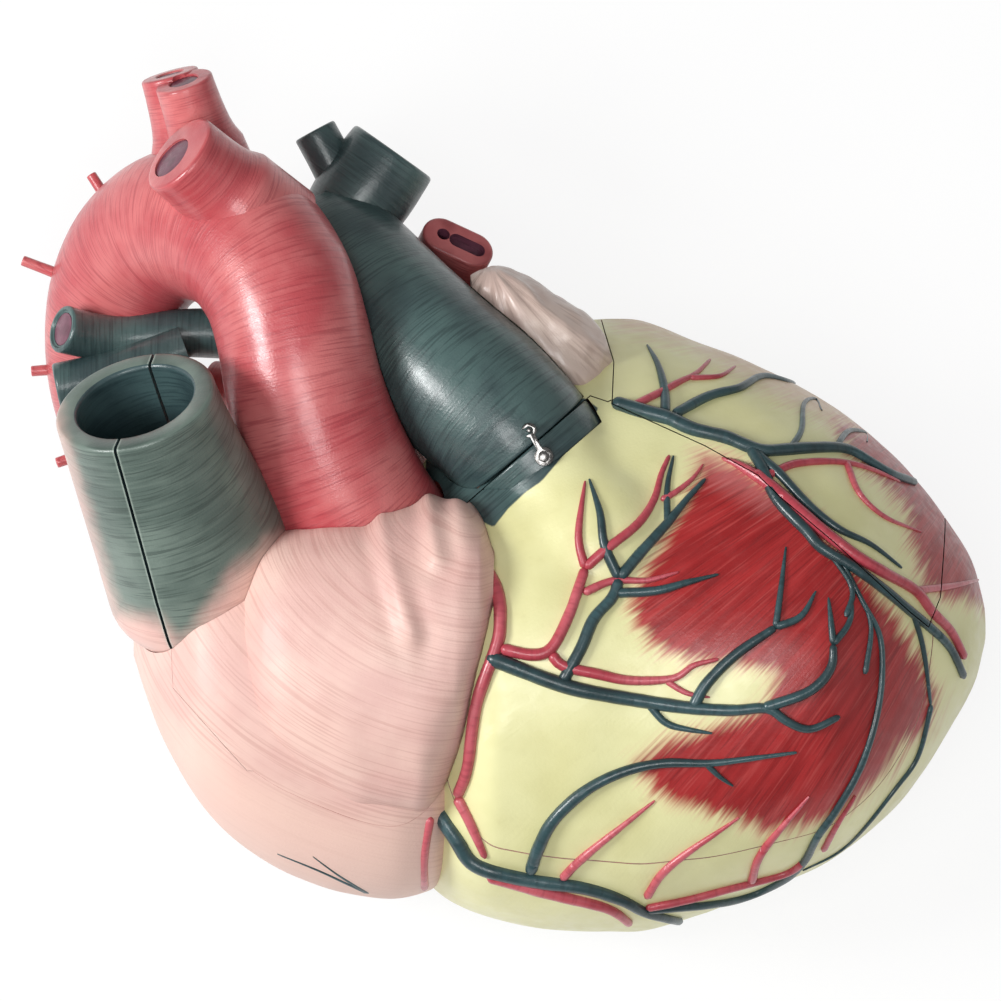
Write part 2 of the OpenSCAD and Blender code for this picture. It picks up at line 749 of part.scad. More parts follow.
module front_arteries() { lay() color("crimson") front_part() relief_of(artery_routes, vein_routes); }
module front_veins() { lay() color(vein) front_part() relief_of(vein_routes, false); }
module rear_arteries() { lay() color("crimson") rear_part() relief_of(artery_routes, vein_routes); }
module rear_veins() { lay() color(vein) rear_part() relief_of(vein_routes, false); }
module left_wall_arteries() { lay() color("crimson") left_part() relief_of(artery_routes, vein_routes); }
module left_wall_veins() { lay() color(vein) left_part() relief_of(vein_routes, false); }

// ---------- locating pegs and sockets ----------

function seam_at(x) = seam_depth / cos(atan(seam_slope)) - seam_slope * x;

module boss_room() {
    for (p = peg_places) translate([p[0], p[1], seam_at(p[0]) - boss_len])
        cylinder(h = boss_len + socket_len, d = boss_od + 0.3, $fn = 32);
    for (p = left_peg_places) translate([p[0], p[1], left_seam_depth - boss_len])
        cylinder(h = boss_len + socket_len, d = boss_od + 0.3, $fn = 32);
}

module peg(p, seam) {
    translate([p[0], p[1], seam - boss_len]) {
        cylinder(h = boss_len - seam_gap / 2, d = boss_od);
        cylinder(h = boss_len + peg_len, d = peg_d);
    }
}

module socket(p, seam) {
    translate([p[0], p[1], seam + seam_gap / 2]) difference() {
        cylinder(h = socket_len - seam_gap / 2, d = boss_od);
        translate([0, 0, -1]) cylinder(h = peg_len + 1, d = peg_d + peg_clear);
    }
}

module locating_pegs() {
    lay() color("ivory") {
        for (p = peg_places) peg(p, seam_at(p[0]));
        for (p = left_peg_places) peg(p, left_seam_depth);
    }
}
module front_sockets() { lay() color("ivory") for (p = peg_places) socket(p, seam_at(p[0])); }
module left_sockets() { lay() color("ivory") for (p = left_peg_places) socket(p, left_seam_depth); }

// ---------- conus ring and hook latch ----------

module conus_ring_place() { aim(conus_place, conus_axis) translate([0, 0, -conus_ring_h]) children(); }

catch_place = pivot_place + hook_reach * [cos(catch_turn), sin(catch_turn)];
// The hook lies this far in front of the conus ring; below it the latch parts reach in by their depths.
hook_rise = 2.5;
hook_z = conus_place[2] + conus_od / 2 + hook_rise;
base_gap = 0.4;
base_depth = 14;
screw_depth = 12;
pin_depth = 24;
bore_depth = 34;

module at_pivot() { translate([pivot_place[0], pivot_place[1], 0]) children(); }
module screw_bore() {
    at_pivot() translate([0, 0, hook_z - bore_depth]) cylinder(h = 2 * bore_depth, d = pin_d);
}

module conus_ring() {
    lay() color(vein) difference() {
        conus_ring_place() difference() {
            cylinder(h = conus_ring_h, d = conus_od);
            translate([0, 0, -1]) cylinder(h = conus_ring_h + 2, d = conus_bore);
        }
        screw_bore();
    }
}

module latch_base() {
    lay() color(chrome) difference() {
        at_pivot() translate([0, 0, hook_z - base_depth]) cylinder(h = base_depth - base_gap, d = hook_eye_od);
        conus_ring_place() translate([0, 0, -20]) cylinder(h = conus_ring_h + 20, d = conus_od, $fn = 360);
        screw_bore();
    }
}

module latch_screw() {
    lay() color(chrome) at_pivot() {
        translate([0, 0, hook_z - screw_depth]) cylinder(h = screw_depth + hook_t + base_gap, d = pin_d);
        translate([0, 0, hook_z + hook_t + base_gap]) cylinder(h = 1.4, d = screw_head_d);
    }
}

module latch_hook() {
    lay() color(chrome) at_pivot() translate([0, 0, hook_z]) rotate([0, 0, catch_turn])
        linear_extrude(hook_t) difference() {
            union() {
                circle(d = hook_eye_od);
                translate([0, -hook_shank_w / 2]) square([hook_reach, hook_shank_w]);
                translate([hook_reach, 0]) circle(d = hook_end_od);
            }
            circle(d = pin_d + pivot_clear);
            translate([hook_reach, 0]) circle(d = pin_d + catch_clear);
            translate([hook_reach - (pin_d + catch_clear) / 2, 0]) square([pin_d + catch_clear, hook_end_od]);
        }
}

module catch_pin() {
    lay() color(chrome) difference() {
        translate([catch_place[0], catch_place[1], hook_z - pin_depth])
            cylinder(h = pin_depth + hook_t + 1, d = pin_d);
        tube([trunk_route[0], trunk_route[1], trunk_route[2]], 0, 0, 20);
    }
}

ventricle_shell();
right_atrium_back();
left_atrium();
septum();
left_auricle();
aorta();
arch_front_branch();
arch_rear_branches();
arch_end_plugs();
intercostal_stubs();
pulmonary_trunk();
left_lung_artery();
right_lung_arteries();
lung_artery_plugs();
vena_cava_rear();
lower_vena_cava();
left_lung_veins();
right_lung_veins();
tricuspid_valve();
mitral_valve();
pulmonary_valve();
aortic_valve();
papillary_muscles();
valve_cords();
rear_arteries();
rear_veins();
locating_pegs();
catch_pin();
right_ventricle_wall();
right_atrium_wall();
right_auricle();
vena_cava_front();
conus_ring();
front_arteries();
front_veins();
front_sockets();
latch_base();
latch_screw();
left_ventricle_wall();
left_wall_arteries();
left_wall_veins();
left_sockets();
latch_hook();
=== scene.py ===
# %% [markdown]
# # A take-apart anatomy model of a human heart
# The model lies on its back on a table. Its chambers are hollow moulded shells with two lift-off
# walls, and everything on it is hand painted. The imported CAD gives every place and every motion.
# Here each shell is modelled again with smooth skins, and gets its brushed paint.

# %% Tools and the fixed frame
import json
from collections import namedtuple
from math import atan, cos, pi, radians, sin

import bmesh
import bpy
import numpy as np
from mathutils import Matrix, Vector, noise
from mathutils.bvhtree import BVHTree

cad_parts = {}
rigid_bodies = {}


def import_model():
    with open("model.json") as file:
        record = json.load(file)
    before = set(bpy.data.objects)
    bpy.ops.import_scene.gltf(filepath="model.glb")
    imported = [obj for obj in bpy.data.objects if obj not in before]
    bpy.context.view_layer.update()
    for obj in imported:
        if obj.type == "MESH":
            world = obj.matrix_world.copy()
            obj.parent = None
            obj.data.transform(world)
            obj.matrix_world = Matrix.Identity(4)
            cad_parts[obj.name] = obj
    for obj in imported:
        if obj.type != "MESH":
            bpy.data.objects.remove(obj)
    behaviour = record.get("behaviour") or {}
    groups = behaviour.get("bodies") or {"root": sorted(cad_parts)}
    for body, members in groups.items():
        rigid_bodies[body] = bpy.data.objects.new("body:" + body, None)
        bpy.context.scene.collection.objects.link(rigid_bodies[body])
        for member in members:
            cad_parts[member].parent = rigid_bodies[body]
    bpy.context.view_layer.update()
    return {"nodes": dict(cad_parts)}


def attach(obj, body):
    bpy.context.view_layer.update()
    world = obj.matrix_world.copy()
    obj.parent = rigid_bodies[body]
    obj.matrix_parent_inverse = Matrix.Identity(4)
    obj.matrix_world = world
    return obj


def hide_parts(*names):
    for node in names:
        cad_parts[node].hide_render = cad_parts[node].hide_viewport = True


for leftover in list(bpy.data.objects):
    bpy.data.objects.remove(leftover)
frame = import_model()
scene = bpy.context.scene

# %% [markdown]
# ## The face frame
# The heart leans back by ten degrees, so its face looks straight at the camera. Drawing in the
# frame of that face (x right, y up the face, z towards the viewer, in millimetres) keeps every
# number simple. LIE turns a finished mesh into the metres of the table's frame.

# %% Face frame and camera
LEAN = radians(10)
TABLE_DROP = 115
MM = 0.001
LIE = Matrix.Translation((0, 0, TABLE_DROP * MM)) @ Matrix.Rotation(LEAN, 4, "X") @ Matrix.Scale(MM, 4)
PHOTO_MIDDLE = 500
PHOTO_SCALE = 2.1  # pixels for each millimetre of the model
PHOTO_WIDTH = 1001


def on_face(*pixels):
    """Places in the photograph as places on the face."""
    return [((x - PHOTO_MIDDLE) / PHOTO_SCALE, (PHOTO_MIDDLE - y) / PHOTO_SCALE) for x, y in pixels]


camera = bpy.data.objects.new("camera", bpy.data.cameras.new("camera"))
scene.collection.objects.link(camera)
scene.camera = camera
CAMERA_AWAY = 10
camera.matrix_world = (Matrix.Translation((0, 0, TABLE_DROP * MM)) @ Matrix.Rotation(LEAN, 4, "X")
                       @ Matrix.Translation((0, 0, CAMERA_AWAY)))
camera.data.sensor_width = 36
camera.data.lens = camera.data.sensor_width * CAMERA_AWAY / (PHOTO_WIDTH / PHOTO_SCALE * MM)
camera.data.clip_start, camera.data.clip_end = 0.1, 100
print("lens", round(camera.data.lens))

# %% [markdown]
# ## Skins over stations
# A chamber is drawn as a few cross-sections along x: top, bottom, depth to the front and depth to
# the back. It could be a loft of rings, but a UV sphere already has its poles closed and its faces
# evenly spread, so each of its points is carried onto the section it belongs to. The values
# between stations follow a curve that never overshoots.

# %% A chamber's skin
Chamber = namedtuple("Chamber", "stations middle lean")
SQUARENESS = 2.4  # 2 is an ellipse
LEAN_BEND = 18  # the bend where a leaning front begins is this wide


def smooth_between(xs, ys, x):
    """A curve through the stations that rises and falls only where they do."""
    xs, ys = np.asarray(xs, float), np.asarray(ys, float)
    width, slope = np.diff(xs), np.diff(ys) / np.diff(xs)
    tangent = np.concatenate([slope[:1], np.zeros(len(xs) - 2), slope[-1:]])
    for i in range(1, len(xs) - 1):
        if slope[i - 1] * slope[i] > 0:
            before, after = width[i - 1] + 2 * width[i], 2 * width[i - 1] + width[i]
            tangent[i] = (before + after) / (before / slope[i - 1] + after / slope[i])
    i = np.clip(np.searchsorted(xs, x) - 1, 0, len(xs) - 2)
    t = np.clip((x - xs[i]) / width[i], 0, 1)
    return ((1 + 2 * t) * (1 - t) ** 2 * ys[i] + t * (1 - t) ** 2 * width[i] * tangent[i]
            + t * t * (3 - 2 * t) * ys[i + 1] + t * t * (t - 1) * width[i] * tangent[i + 1])


def bulge(x):
    return np.sign(x) * np.abs(x) ** (2 / SQUARENESS)


def points_of(bm):
    return np.array([v.co for v in bm.verts])


def place(bm, points):
    for v, p in zip(bm.verts, points):
        v.co = p


def skin(chamber, inset=0, along=128, around=192, side=0):
    """A closed skin over a chamber's stations, taken in by inset. side is its material."""
    bm = bmesh.new()
    bmesh.ops.create_uvsphere(bm, u_segments=around, v_segments=along, radius=1)
    x, y, z = points_of(bm).T
    stations = np.array(chamber.stations, float)
    first, last = stations[0, 0], stations[-1, 0]
    share = (1 - z) / 2
    at = first + share * (last - first)
    top, bottom, front, rear = (smooth_between(stations[:, 0], stations[:, k], at) for k in range(1, 5))
    half = np.maximum(1, (top - bottom) / 2 - inset)
    turn, off_pole = np.arctan2(y, x), np.hypot(x, y) > 1e-5
    up = half * bulge(np.cos(turn)) * off_pole
    deep = np.maximum(1, np.where(np.sin(turn) > 0, front, rear) - inset) * bulge(np.sin(turn)) * off_pole
    place(bm, np.column_stack([
        first + inset + share * (last - first - 2 * inset), (top + bottom) / 2 + up,
        chamber.middle + deep - chamber.lean * (up + np.hypot(up, LEAN_BEND * off_pole)) / 2]))
    bmesh.ops.recalc_face_normals(bm, faces=bm.faces)
    for face in bm.faces:
        face.material_index = side
    return bm


# %% Stations of every chamber: place along x, top, bottom, front depth, rear depth
WALL = 11
ventricles = Chamber([
    (-44, 20, -160, 52, 46), (-36, 32, -180, 84, 56), (-20, 48, -193, 108, 64),
    (0, 68, -200, 120, 70), (26, 86, -205, 120, 72), (62, 87, -206, 118, 73),
    (95, 76, -198, 120, 73), (126, 64, -186, 122, 72), (150, 51, -176, 121, 68),
    (170, 37, -163, 114, 62), (187, 23, -149, 98, 54), (203, 6, -129, 78, 44),
    (216, -12, -106, 58, 33), (226, -30, -88, 38, 22), (232, -52, -68, 14, 9)], -41, 0.3)
right_atrium = Chamber([
    (-175, -60, -74, 10, 10), (-170, -46, -90, 36, 30), (-158, -28, -120, 62, 48),
    (-142, -16, -146, 80, 60), (-122, -10, -165, 86, 68), (-98, -8, -179, 87, 72),
    (-74, -8, -187, 87, 74), (-52, -10, -190, 86, 74), (-34, -20, -186, 80, 70),
    (-20, -40, -170, 66, 60)], -20, 0)
auricle_lobe = Chamber([
    (-128, -40, -90, 22, 5), (-112, -18, -120, 44, 10), (-90, -10, -138, 52, 12),
    (-65, -7, -150, 56, 14), (-40, 0, -152, 58, 14), (-22, 2, -128, 58, 14),
    (-10, -6, -90, 54, 12), (-3, -20, -60, 44, 8)], 30, 0)
left_atrium = Chamber([
    (-125, 60, 0, 10, 10), (-112, 78, -15, 34, 26), (-90, 90, -25, 44, 36),
    (-60, 98, -28, 48, 40), (-30, 104, -28, 50, 42), (0, 106, -20, 50, 42),
    (28, 98, 0, 40, 34), (44, 84, 20, 14, 14)], -70, 0)
left_lobe = Chamber([
    (-14, 108, 92, 12, 12), (-2, 112, 80, 22, 18), (12, 107, 66, 27, 20),
    (27, 98, 52, 28, 20), (40, 90, 44, 25, 18), (48, 82, 44, 18, 14), (53, 72, 54, 8, 8)], -15, 0)

# %% [markdown]
# ## Bent tubes
# The great vessels are tubes of changing width along a curve. A Blender curve with a bevel would
# do, but its ends can't be hollow with a rounded lip. So a circle is made at one end and extruded
# ring by ring, out along the wall, over the lip and back along the bore, and the last ring is
# bridged to the first.

# %% Smooth paths and rings
Stop = namedtuple("Stop", "matrix radius")


def smooth_path(stops, step=4):
    """Points with a radius, joined by one smooth curve, about step apart."""
    points = np.array(stops, float)
    padded = np.vstack([2 * points[0] - points[1], points, 2 * points[-1] - points[-2]])
    out = []
    for i in range(1, len(padded) - 2):
        a, b, c, d = padded[i - 1:i + 3]
        count = max(1, round(np.linalg.norm((c - b)[:3]) / step))
        for t in np.arange(count) / count:
            out.append(0.5 * (2 * b + (c - a) * t + (2 * a - 5 * b + 4 * c - d) * t * t
                              + (3 * b - a - 3 * c + d) * t ** 3))
    return np.vstack([out, points[-1]])


def aimed(spot, heading):
    """Moves the origin to a place and turns z onto a heading."""
    turned = Vector(heading).to_track_quat("Z", "Y").to_matrix().to_4x4()
    return Matrix.Translation(Vector(spot)) @ turned


def rings_along(path, grow=0, reach=0):
    """A ring square to the path at each of its points; reach moves both ends outwards."""
    stops, before = [], None
    for i, point in enumerate(path):
        ahead, behind = path[min(i + 1, len(path) - 1)][:3], path[max(i - 1, 0)][:3]
        heading = Vector(ahead - behind).normalized()
        matrix = aimed(point[:3], heading)
        if before:  # carry the last ring on without a twist
            turn = before.to_3x3().col[2].rotation_difference(heading).to_matrix()
            matrix = Matrix.Translation(Vector(point[:3])) @ (turn @ before.to_3x3()).to_4x4()
        push = -reach if i == 0 else reach if i == len(path) - 1 else 0
        before = matrix
        stops.append(Stop(Matrix.Translation(heading * push) @ matrix, point[3] + grow))
    return stops


def ring(stop, out=0, ahead=0):
    """The matrix that carries a unit circle onto a stop, widened by out and moved ahead."""
    size = stop.radius + out
    return stop.matrix @ Matrix.Translation((0, 0, ahead)) @ Matrix.Diagonal((size, size, 1, 1))


def through(rings, spokes=64, closed=False, side=0, inner_from=None):
    """Extrudes a circle from ring to ring. closed joins the last ring to the first."""
    bm = bmesh.new()
    circle = bmesh.ops.create_circle(bm, cap_ends=False, segments=spokes, radius=1, matrix=rings[0])
    loop = list({e for v in circle["verts"] for e in v.link_edges})
    start, now = loop, rings[0]
    for i, ahead in enumerate(rings[1:], 1):
        grown = bmesh.ops.extrude_edge_only(bm, edges=loop)["geom"]
        moved = [g for g in grown if isinstance(g, bmesh.types.BMVert)]
        bmesh.ops.transform(bm, matrix=ahead @ now.inverted(), verts=moved)
        for face in (g for g in grown if isinstance(g, bmesh.types.BMFace)):
            face.material_index = 1 if inner_from and i >= inner_from else side
        loop = [e for e in {e for v in moved for e in v.link_edges} if all(v in moved for v in e.verts)]
        now = ahead
    if closed:
        bmesh.ops.bridge_loops(bm, edges=start + loop)
    else:
        for end in (start, loop):
            bmesh.ops.contextual_create(bm, geom=end)
    bmesh.ops.recalc_face_normals(bm, faces=bm.faces)
    if not closed:
        for face in bm.faces:
            face.material_index = side
    return bm


def rod(path, grow=0, reach=0, spokes=64, side=0):
    """A solid bent rod with flat ends."""
    return through([ring(s) for s in rings_along(path, grow, reach)], spokes, side=side)


def pipe(path, wall, soft=1.6, spokes=72, reach=0):
    """A hollow tube with rounded lips; its bore has the inner material."""
    outer = rings_along(path, 0, reach)
    inner = [Stop(s.matrix, s.radius - wall) for s in outer]
    first, last = outer[0], outer[-1]
    over = []
    for t in (k * pi / 8 for k in range(9)):  # half a turn over the far lip
        edge = soft * (1 - cos(t)) if t <= pi / 2 else wall - soft * (1 + cos(t))
        over.append(ring(last, -edge, soft * (sin(t) - 1)))
    under = []
    for t in (k * pi / 8 for k in range(9)):  # and back over the near one
        edge = wall - soft * (1 - cos(t)) if t <= pi / 2 else soft * (1 + cos(t))
        under.append(ring(first, -edge, -soft * (sin(t) - 1)))
    outside = [ring(s) for s in outer[1:-1]]
    inside = [ring(s) for s in inner[1:-1]][::-1]
    return through(outside + over + inside + under, spokes, closed=True, inner_from=len(outside) + 6)


# %% Paths of the great vessels: x, y, z and outer radius
ARTERY_WALL = 8
CONUS_OD, CONUS_BORE, CONUS_RING_H, CONUS_GAP = 73, 56, 13, 2.4
TRUNK_STRAIGHT = 12
aorta_path = smooth_path([
    (-30, -52, -14, 28), (-44, -38, -4, 33), (-58, -20, 8, 38), (-71, -2, 16, 39),
    (-84, 25, 22, 38.5), (-93, 52, 25, 37.5), (-99, 80, 25, 36.5), (-106, 102, 20, 36.5),
    (-119, 121, 8, 37), (-136, 131, -8, 37.5), (-155, 131, -26, 36.5), (-172, 119, -44, 35),
    (-183, 100, -58, 33), (-187, 78, -68, 31.5), (-185, 55, -74, 31), (-177, 28, -77, 30.5)])
conus_path = smooth_path([
    (19, 17, 15, 36.5), (22, 13, 15, 36.5), (27, 4, 18, 37.5), (35, -9, 22, 40), (46, -25, 25, 46),
    (62, -52, 10, 46)])
conus_axis, conus_place = Vector((-0.656, 0.755, 0)), Vector((13, 24, 15))
trunk_start = conus_place + CONUS_GAP * conus_axis
trunk_straight = trunk_start + TRUNK_STRAIGHT * conus_axis
trunk_path = smooth_path([
    (*trunk_start, 36.5), (*trunk_straight, 37), (-11, 49, 10, 38), (-23, 60, 5, 37.5),
    (-36, 73, -3, 36), (-49, 87, -12, 34.5), (-62, 103, -24, 32), (-74, 118, -36, 29.5),
    (-82, 130, -48, 26)])
left_lung_path = smooth_path([(-80, 128, -46, 20), (-66, 146, -46, 23.5), (-51, 167, -46, 22.5)])
left_lung_side = smooth_path([(-72, 142, -46, 10), (-81, 162, -46, 10.5), (-89, 177, -46, 10.5)])
right_lung_upper = smooth_path([
    (-24, 80, -22, 14), (-60, 79, -28, 14), (-100, 79, -30, 13), (-150, 80, -30, 11.6),
    (-180, 77.5, -29, 10.8), (-197, 79, -24, 11), (-209.5, 82, -17, 11.5)])
right_lung_lower = smooth_path([(-150, 72, -22, 12), (-184, 60, -22, 12), (-212, 54, -22, 11.5)])
SVC_OD, SVC_BORE, SVC_LEN = 78, 57, 126
svc_axis, svc_rim = Vector((-0.231, 0.806, 0.545)), Vector((-173, 47, 75))
svc_seam, svc_right = Vector((0.946, 0.054, 0.322)), Vector((0.961, 0.276, 0))
SVC_FLARE, FLARE_LEN = 7, 84  # it widens to the right on its way down
SVC_FOOT, SVC_TUCK = 18, 8  # its foot turns in


def cava_stop(down):
    """The vena cava at a distance below its rim."""
    flare = SVC_FLARE * min(1, down / FLARE_LEN) ** 1.4
    tuck = SVC_TUCK * max(0, 1 - (SVC_LEN - down) / SVC_FOOT) ** 2
    return (*(svc_rim - svc_axis.normalized() * down + svc_right * flare), SVC_OD / 2 + flare - tuck)


svc_path = np.array([cava_stop(down) for down in np.linspace(SVC_LEN, 0, 32)])
print("aorta rings", len(aorta_path), "trunk rings", len(trunk_path))

# %% [markdown]
# ## Cutting one skin into walls
# On the real model the walls are moulded apart and meet at thin seams. Three separate shapes would
# never line up, so one skin is cut by the same zones that cut the CAD. Booleans do this: a hollow
# is taken out, tubes are taken out, and each wall keeps its own zone, half a seam gap short. The
# faces a cutter leaves take its material number, so bores and seams can be painted differently.

# %% Booleans on bmeshes
OUTSIDE, INSIDE, EDGE = 0, 1, 2
SEAM_GAP = 0.5
TIGHT_GAP = 0.15
FAR = 400


def as_object(bm):
    mesh = bpy.data.meshes.new("blank")
    bm.to_mesh(mesh)
    for _ in (OUTSIDE, INSIDE, EDGE):
        mesh.materials.append(None)
    blank = bpy.data.objects.new("blank", mesh)
    scene.collection.objects.link(blank)
    return blank


def carved(base, *steps):
    """A new bmesh: each step is (INTERSECT, UNION or DIFFERENCE, another bmesh)."""
    blank, tools = as_object(base), [as_object(tool) for _, tool in steps]
    for (operation, _), tool in zip(steps, tools):
        cut = blank.modifiers.new("cut", "BOOLEAN")
        cut.operation, cut.object, cut.solver = operation, tool, "MANIFOLD"
    bpy.context.view_layer.update()
    done = blank.evaluated_get(bpy.context.evaluated_depsgraph_get())
    result = bmesh.new()
    result.from_mesh(done.to_mesh())
    done.to_mesh_clear()
    for o in (blank, *tools):
        mesh = o.data
        bpy.data.objects.remove(o)
        bpy.data.meshes.remove(mesh)
    if not result.verts:
        raise ValueError("a cut left nothing")
    return result


def minus(base, *tools):
    return carved(base, *[("DIFFERENCE", tool) for tool in tools])


def evened(bm, grain, passes=0):
    """The same form with small even faces, and smoothed like worked clay."""
    blank = as_object(bm)
    remesh = blank.modifiers.new("even", "REMESH")
    remesh.mode, remesh.voxel_size = "VOXEL", grain
    smooth = blank.modifiers.new("smooth", "SMOOTH")
    smooth.factor, smooth.iterations = 0.5, passes
    bpy.context.view_layer.update()
    clay = bmesh.new()
    clay.from_mesh(blank.evaluated_get(bpy.context.evaluated_depsgraph_get()).to_mesh())
    bpy.data.objects.remove(blank)
    return clay


def block(size, matrix=Matrix.Identity(4), side=EDGE):
    """A box standing on the matrix's origin, centred on its z axis."""
    bm = bmesh.new()
    bmesh.ops.create_cube(bm, size=1, matrix=matrix @ Matrix.Translation((0, 0, size[2] / 2))
                          @ Matrix.Diagonal((*size, 1)))
    bmesh.ops.recalc_face_normals(bm, faces=bm.faces)
    for face in bm.faces:
        face.material_index = side
    return bm


def widened(outline, grow):
    """An outline with every edge moved outwards by grow."""
    points = [Vector(p) for p in outline]
    area = sum(a.x * b.y - b.x * a.y for a, b in zip(points, points[1:] + points[:1]))
    out = []
    for before, at, after in zip(points[-1:] + points[:-1], points, points[1:] + points[:1]):
        sides = [(b - a).normalized() for a, b in ((before, at), (at, after))]
        normals = [Vector((s.y, -s.x)) * (1 if area > 0 else -1) for s in sides]
        out.append(at + (normals[0] + normals[1]) * grow / (1 + normals[0].dot(normals[1])))
    return out


def prism(outline, low, grow=0, side=EDGE):
    """An outline of the face, extruded towards the viewer from the depth low."""
    bm = bmesh.new()
    face = bm.faces.new([bm.verts.new((p.x, p.y, low - grow)) for p in widened(outline, grow)])
    top = bmesh.ops.extrude_face_region(bm, geom=[face])["geom"]
    bmesh.ops.translate(bm, vec=(0, 0, FAR), verts=[g for g in top if isinstance(g, bmesh.types.BMVert)])
    bmesh.ops.recalc_face_normals(bm, faces=bm.faces)
    for face in bm.faces:
        face.material_index = side
    return bm


def hull(matrices, spokes=24, side=EDGE):
    """The convex hull of some rings."""
    bm = bmesh.new()
    for matrix in matrices:
        bmesh.ops.create_circle(bm, cap_ends=False, segments=spokes, radius=1, matrix=matrix)
    inside = bmesh.ops.convex_hull(bm, input=bm.verts)["geom_interior"]
    bmesh.ops.delete(bm, geom=[g for g in inside if isinstance(g, bmesh.types.BMVert)], context="VERTS")
    bmesh.ops.recalc_face_normals(bm, faces=bm.faces)
    for face in bm.faces:
        face.material_index = side
    return bm


def drum(spot, heading, low, high, radius, spokes=96, side=EDGE):
    """A cylinder along a heading, from low to high of its place."""
    stop = Stop(aimed(spot, heading), radius)
    return through([ring(stop, 0, low), ring(stop, 0, high)], spokes, side=side)


# %% Where each lift-off wall reaches
SEAM_DEPTH, SEAM_SLOPE, LEFT_SEAM_DEPTH = 50, 0.08, -72
left_outline = [
    (53, 46), (54, 66), (50, 80), (40, 120), (240, 120), (240, 10), (213, -3), (209, -46),
    (203, -60), (193, -52), (157, -19), (132, 2), (122, 12), (97, 26)]
upper_outline = [
    (-230, 120), (-230, -40), (-165, -78), (-120, -128), (-20, -128), (-20, 20), (-100, 120)]
conus_zones = [
    ([(-28, -60), (86, -60), (86, 44), (58, 50), (51, 47), (42, 50), (-20, 8)], -6),
    ([(60, -60), (150, -60), (150, 10), (110, 40), (70, 50)], 17)]
AORTA_ROOM, CONUS_REACH, CONUS_SIDE = 1.4, 42, 52


def left_zone(grow):
    return prism(left_outline, LEFT_SEAM_DEPTH, grow)


def front_zone(grow):
    lean = Matrix.Rotation(atan(SEAM_SLOPE), 4, "Y") @ Matrix.Translation((0, 0, SEAM_DEPTH - grow))
    ring_stop = Stop(aimed(conus_place, conus_axis), CONUS_OD / 2 + 0.5 + grow)
    low, high = ring(ring_stop, 0, -CONUS_REACH), ring(ring_stop, 0, grow)
    lifts = [Matrix.Translation((0, 0, lift)) for lift in (0, 120)]
    side_plane = aimed(svc_rim, svc_seam) @ Matrix.Translation((0, 0, -grow))
    shadow = rings_along(aorta_path[:40], AORTA_ROOM - 0.1 - grow)[::2]
    drops = [Matrix.Translation((0, 0, drop)) for drop in (0, -150)]
    return carved(
        block((2 * FAR, 2 * FAR, 2 * FAR), lean),
        ("UNION", prism(upper_outline, 0, grow)),
        *[("UNION", prism(outline, depth, grow)) for outline, depth in conus_zones],
        ("UNION", hull([lift @ r for lift in lifts for r in (low, high)], 48)),
        ("INTERSECT", block((2 * FAR, 2 * FAR, 2 * FAR), side_plane)),
        ("DIFFERENCE", drum(conus_place, conus_axis, grow, FAR, CONUS_SIDE)),
        *[("DIFFERENCE", hull([drop @ ring(s) for drop in drops for s in pair], 48))
          for pair in zip(shadow, shadow[1:])])


def under_table(lift=0):
    drop = Matrix.Rotation(-LEAN, 4, "X") @ Matrix.Translation((0, 0, lift - TABLE_DROP - FAR))
    return block((4 * FAR, 4 * FAR, FAR), drop)


print("front zone faces", len(front_zone(0).faces))

# %% [markdown]
# ## The ventricles
# The lower body of the heart is one thick shell with a hollow inside. The groove where the main
# vessels run is a shallow dent, and the muscle swells a little beside it. That could be sculpted;
# moving each point of the skin along its normal by a small formula gives the same softness and
# stays exact at the seams, because the walls are cut afterwards.

# %% Dents and swellings
GROOVE_WIDTH, GROOVE_DEPTH = 8, 1.9
GROOVE_RUN = [(53, 46), (69, 41), (91, 33), (122, 21), (146, -7), (175, -28), (204, -57), (218, -80)]


def distance_to(line, points):
    """How far points of the face are from a line drawn on it."""
    points, best = np.asarray(points)[:, :2], None
    for a, b in zip(np.array(line[:-1], float), np.array(line[1:], float)):
        t = np.clip((points - a) @ (b - a) / ((b - a) @ (b - a)), 0, 1)
        away = np.linalg.norm(points - a - t[:, None] * (b - a), axis=1)
        best = away if best is None else np.minimum(best, away)
    return best


def within(outline, points):
    """The distance of points inside an outline of the face, negative outside it."""
    points = np.asarray(points)[:, :2]
    inside = np.zeros(len(points), bool)
    for a, b in zip(outline, outline[1:] + outline[:1]):
        crosses = (a[1] > points[:, 1]) != (b[1] > points[:, 1])
        with np.errstate(divide="ignore", invalid="ignore"):
            side = a[0] + (points[:, 1] - a[1]) / (b[1] - a[1]) * (b[0] - a[0])
        inside ^= crosses & (points[:, 0] < side)
    away = distance_to(outline + outline[:1], points)
    return np.where(inside, away, -away)


def waviness(points, size, seed=0):
    return np.array([noise.noise(Vector(p) / size + Vector((seed, 0, 0))) for p in points])


def pushed(bm, depth_at):
    """Moves every point along its normal by depth_at(points)."""
    bm.normal_update()
    points, normals = points_of(bm), np.array([v.normal for v in bm.verts])
    place(bm, points + normals * depth_at(points)[:, None])
    return bm


def heart_muscle(points):
    groove = np.exp(-(distance_to(GROOVE_RUN, points) / GROOVE_WIDTH) ** 2) * (points[:, 2] > -40)
    return 1.1 * waviness(points, 46) + 0.35 * waviness(points, 17, 5) - GROOVE_DEPTH * groove


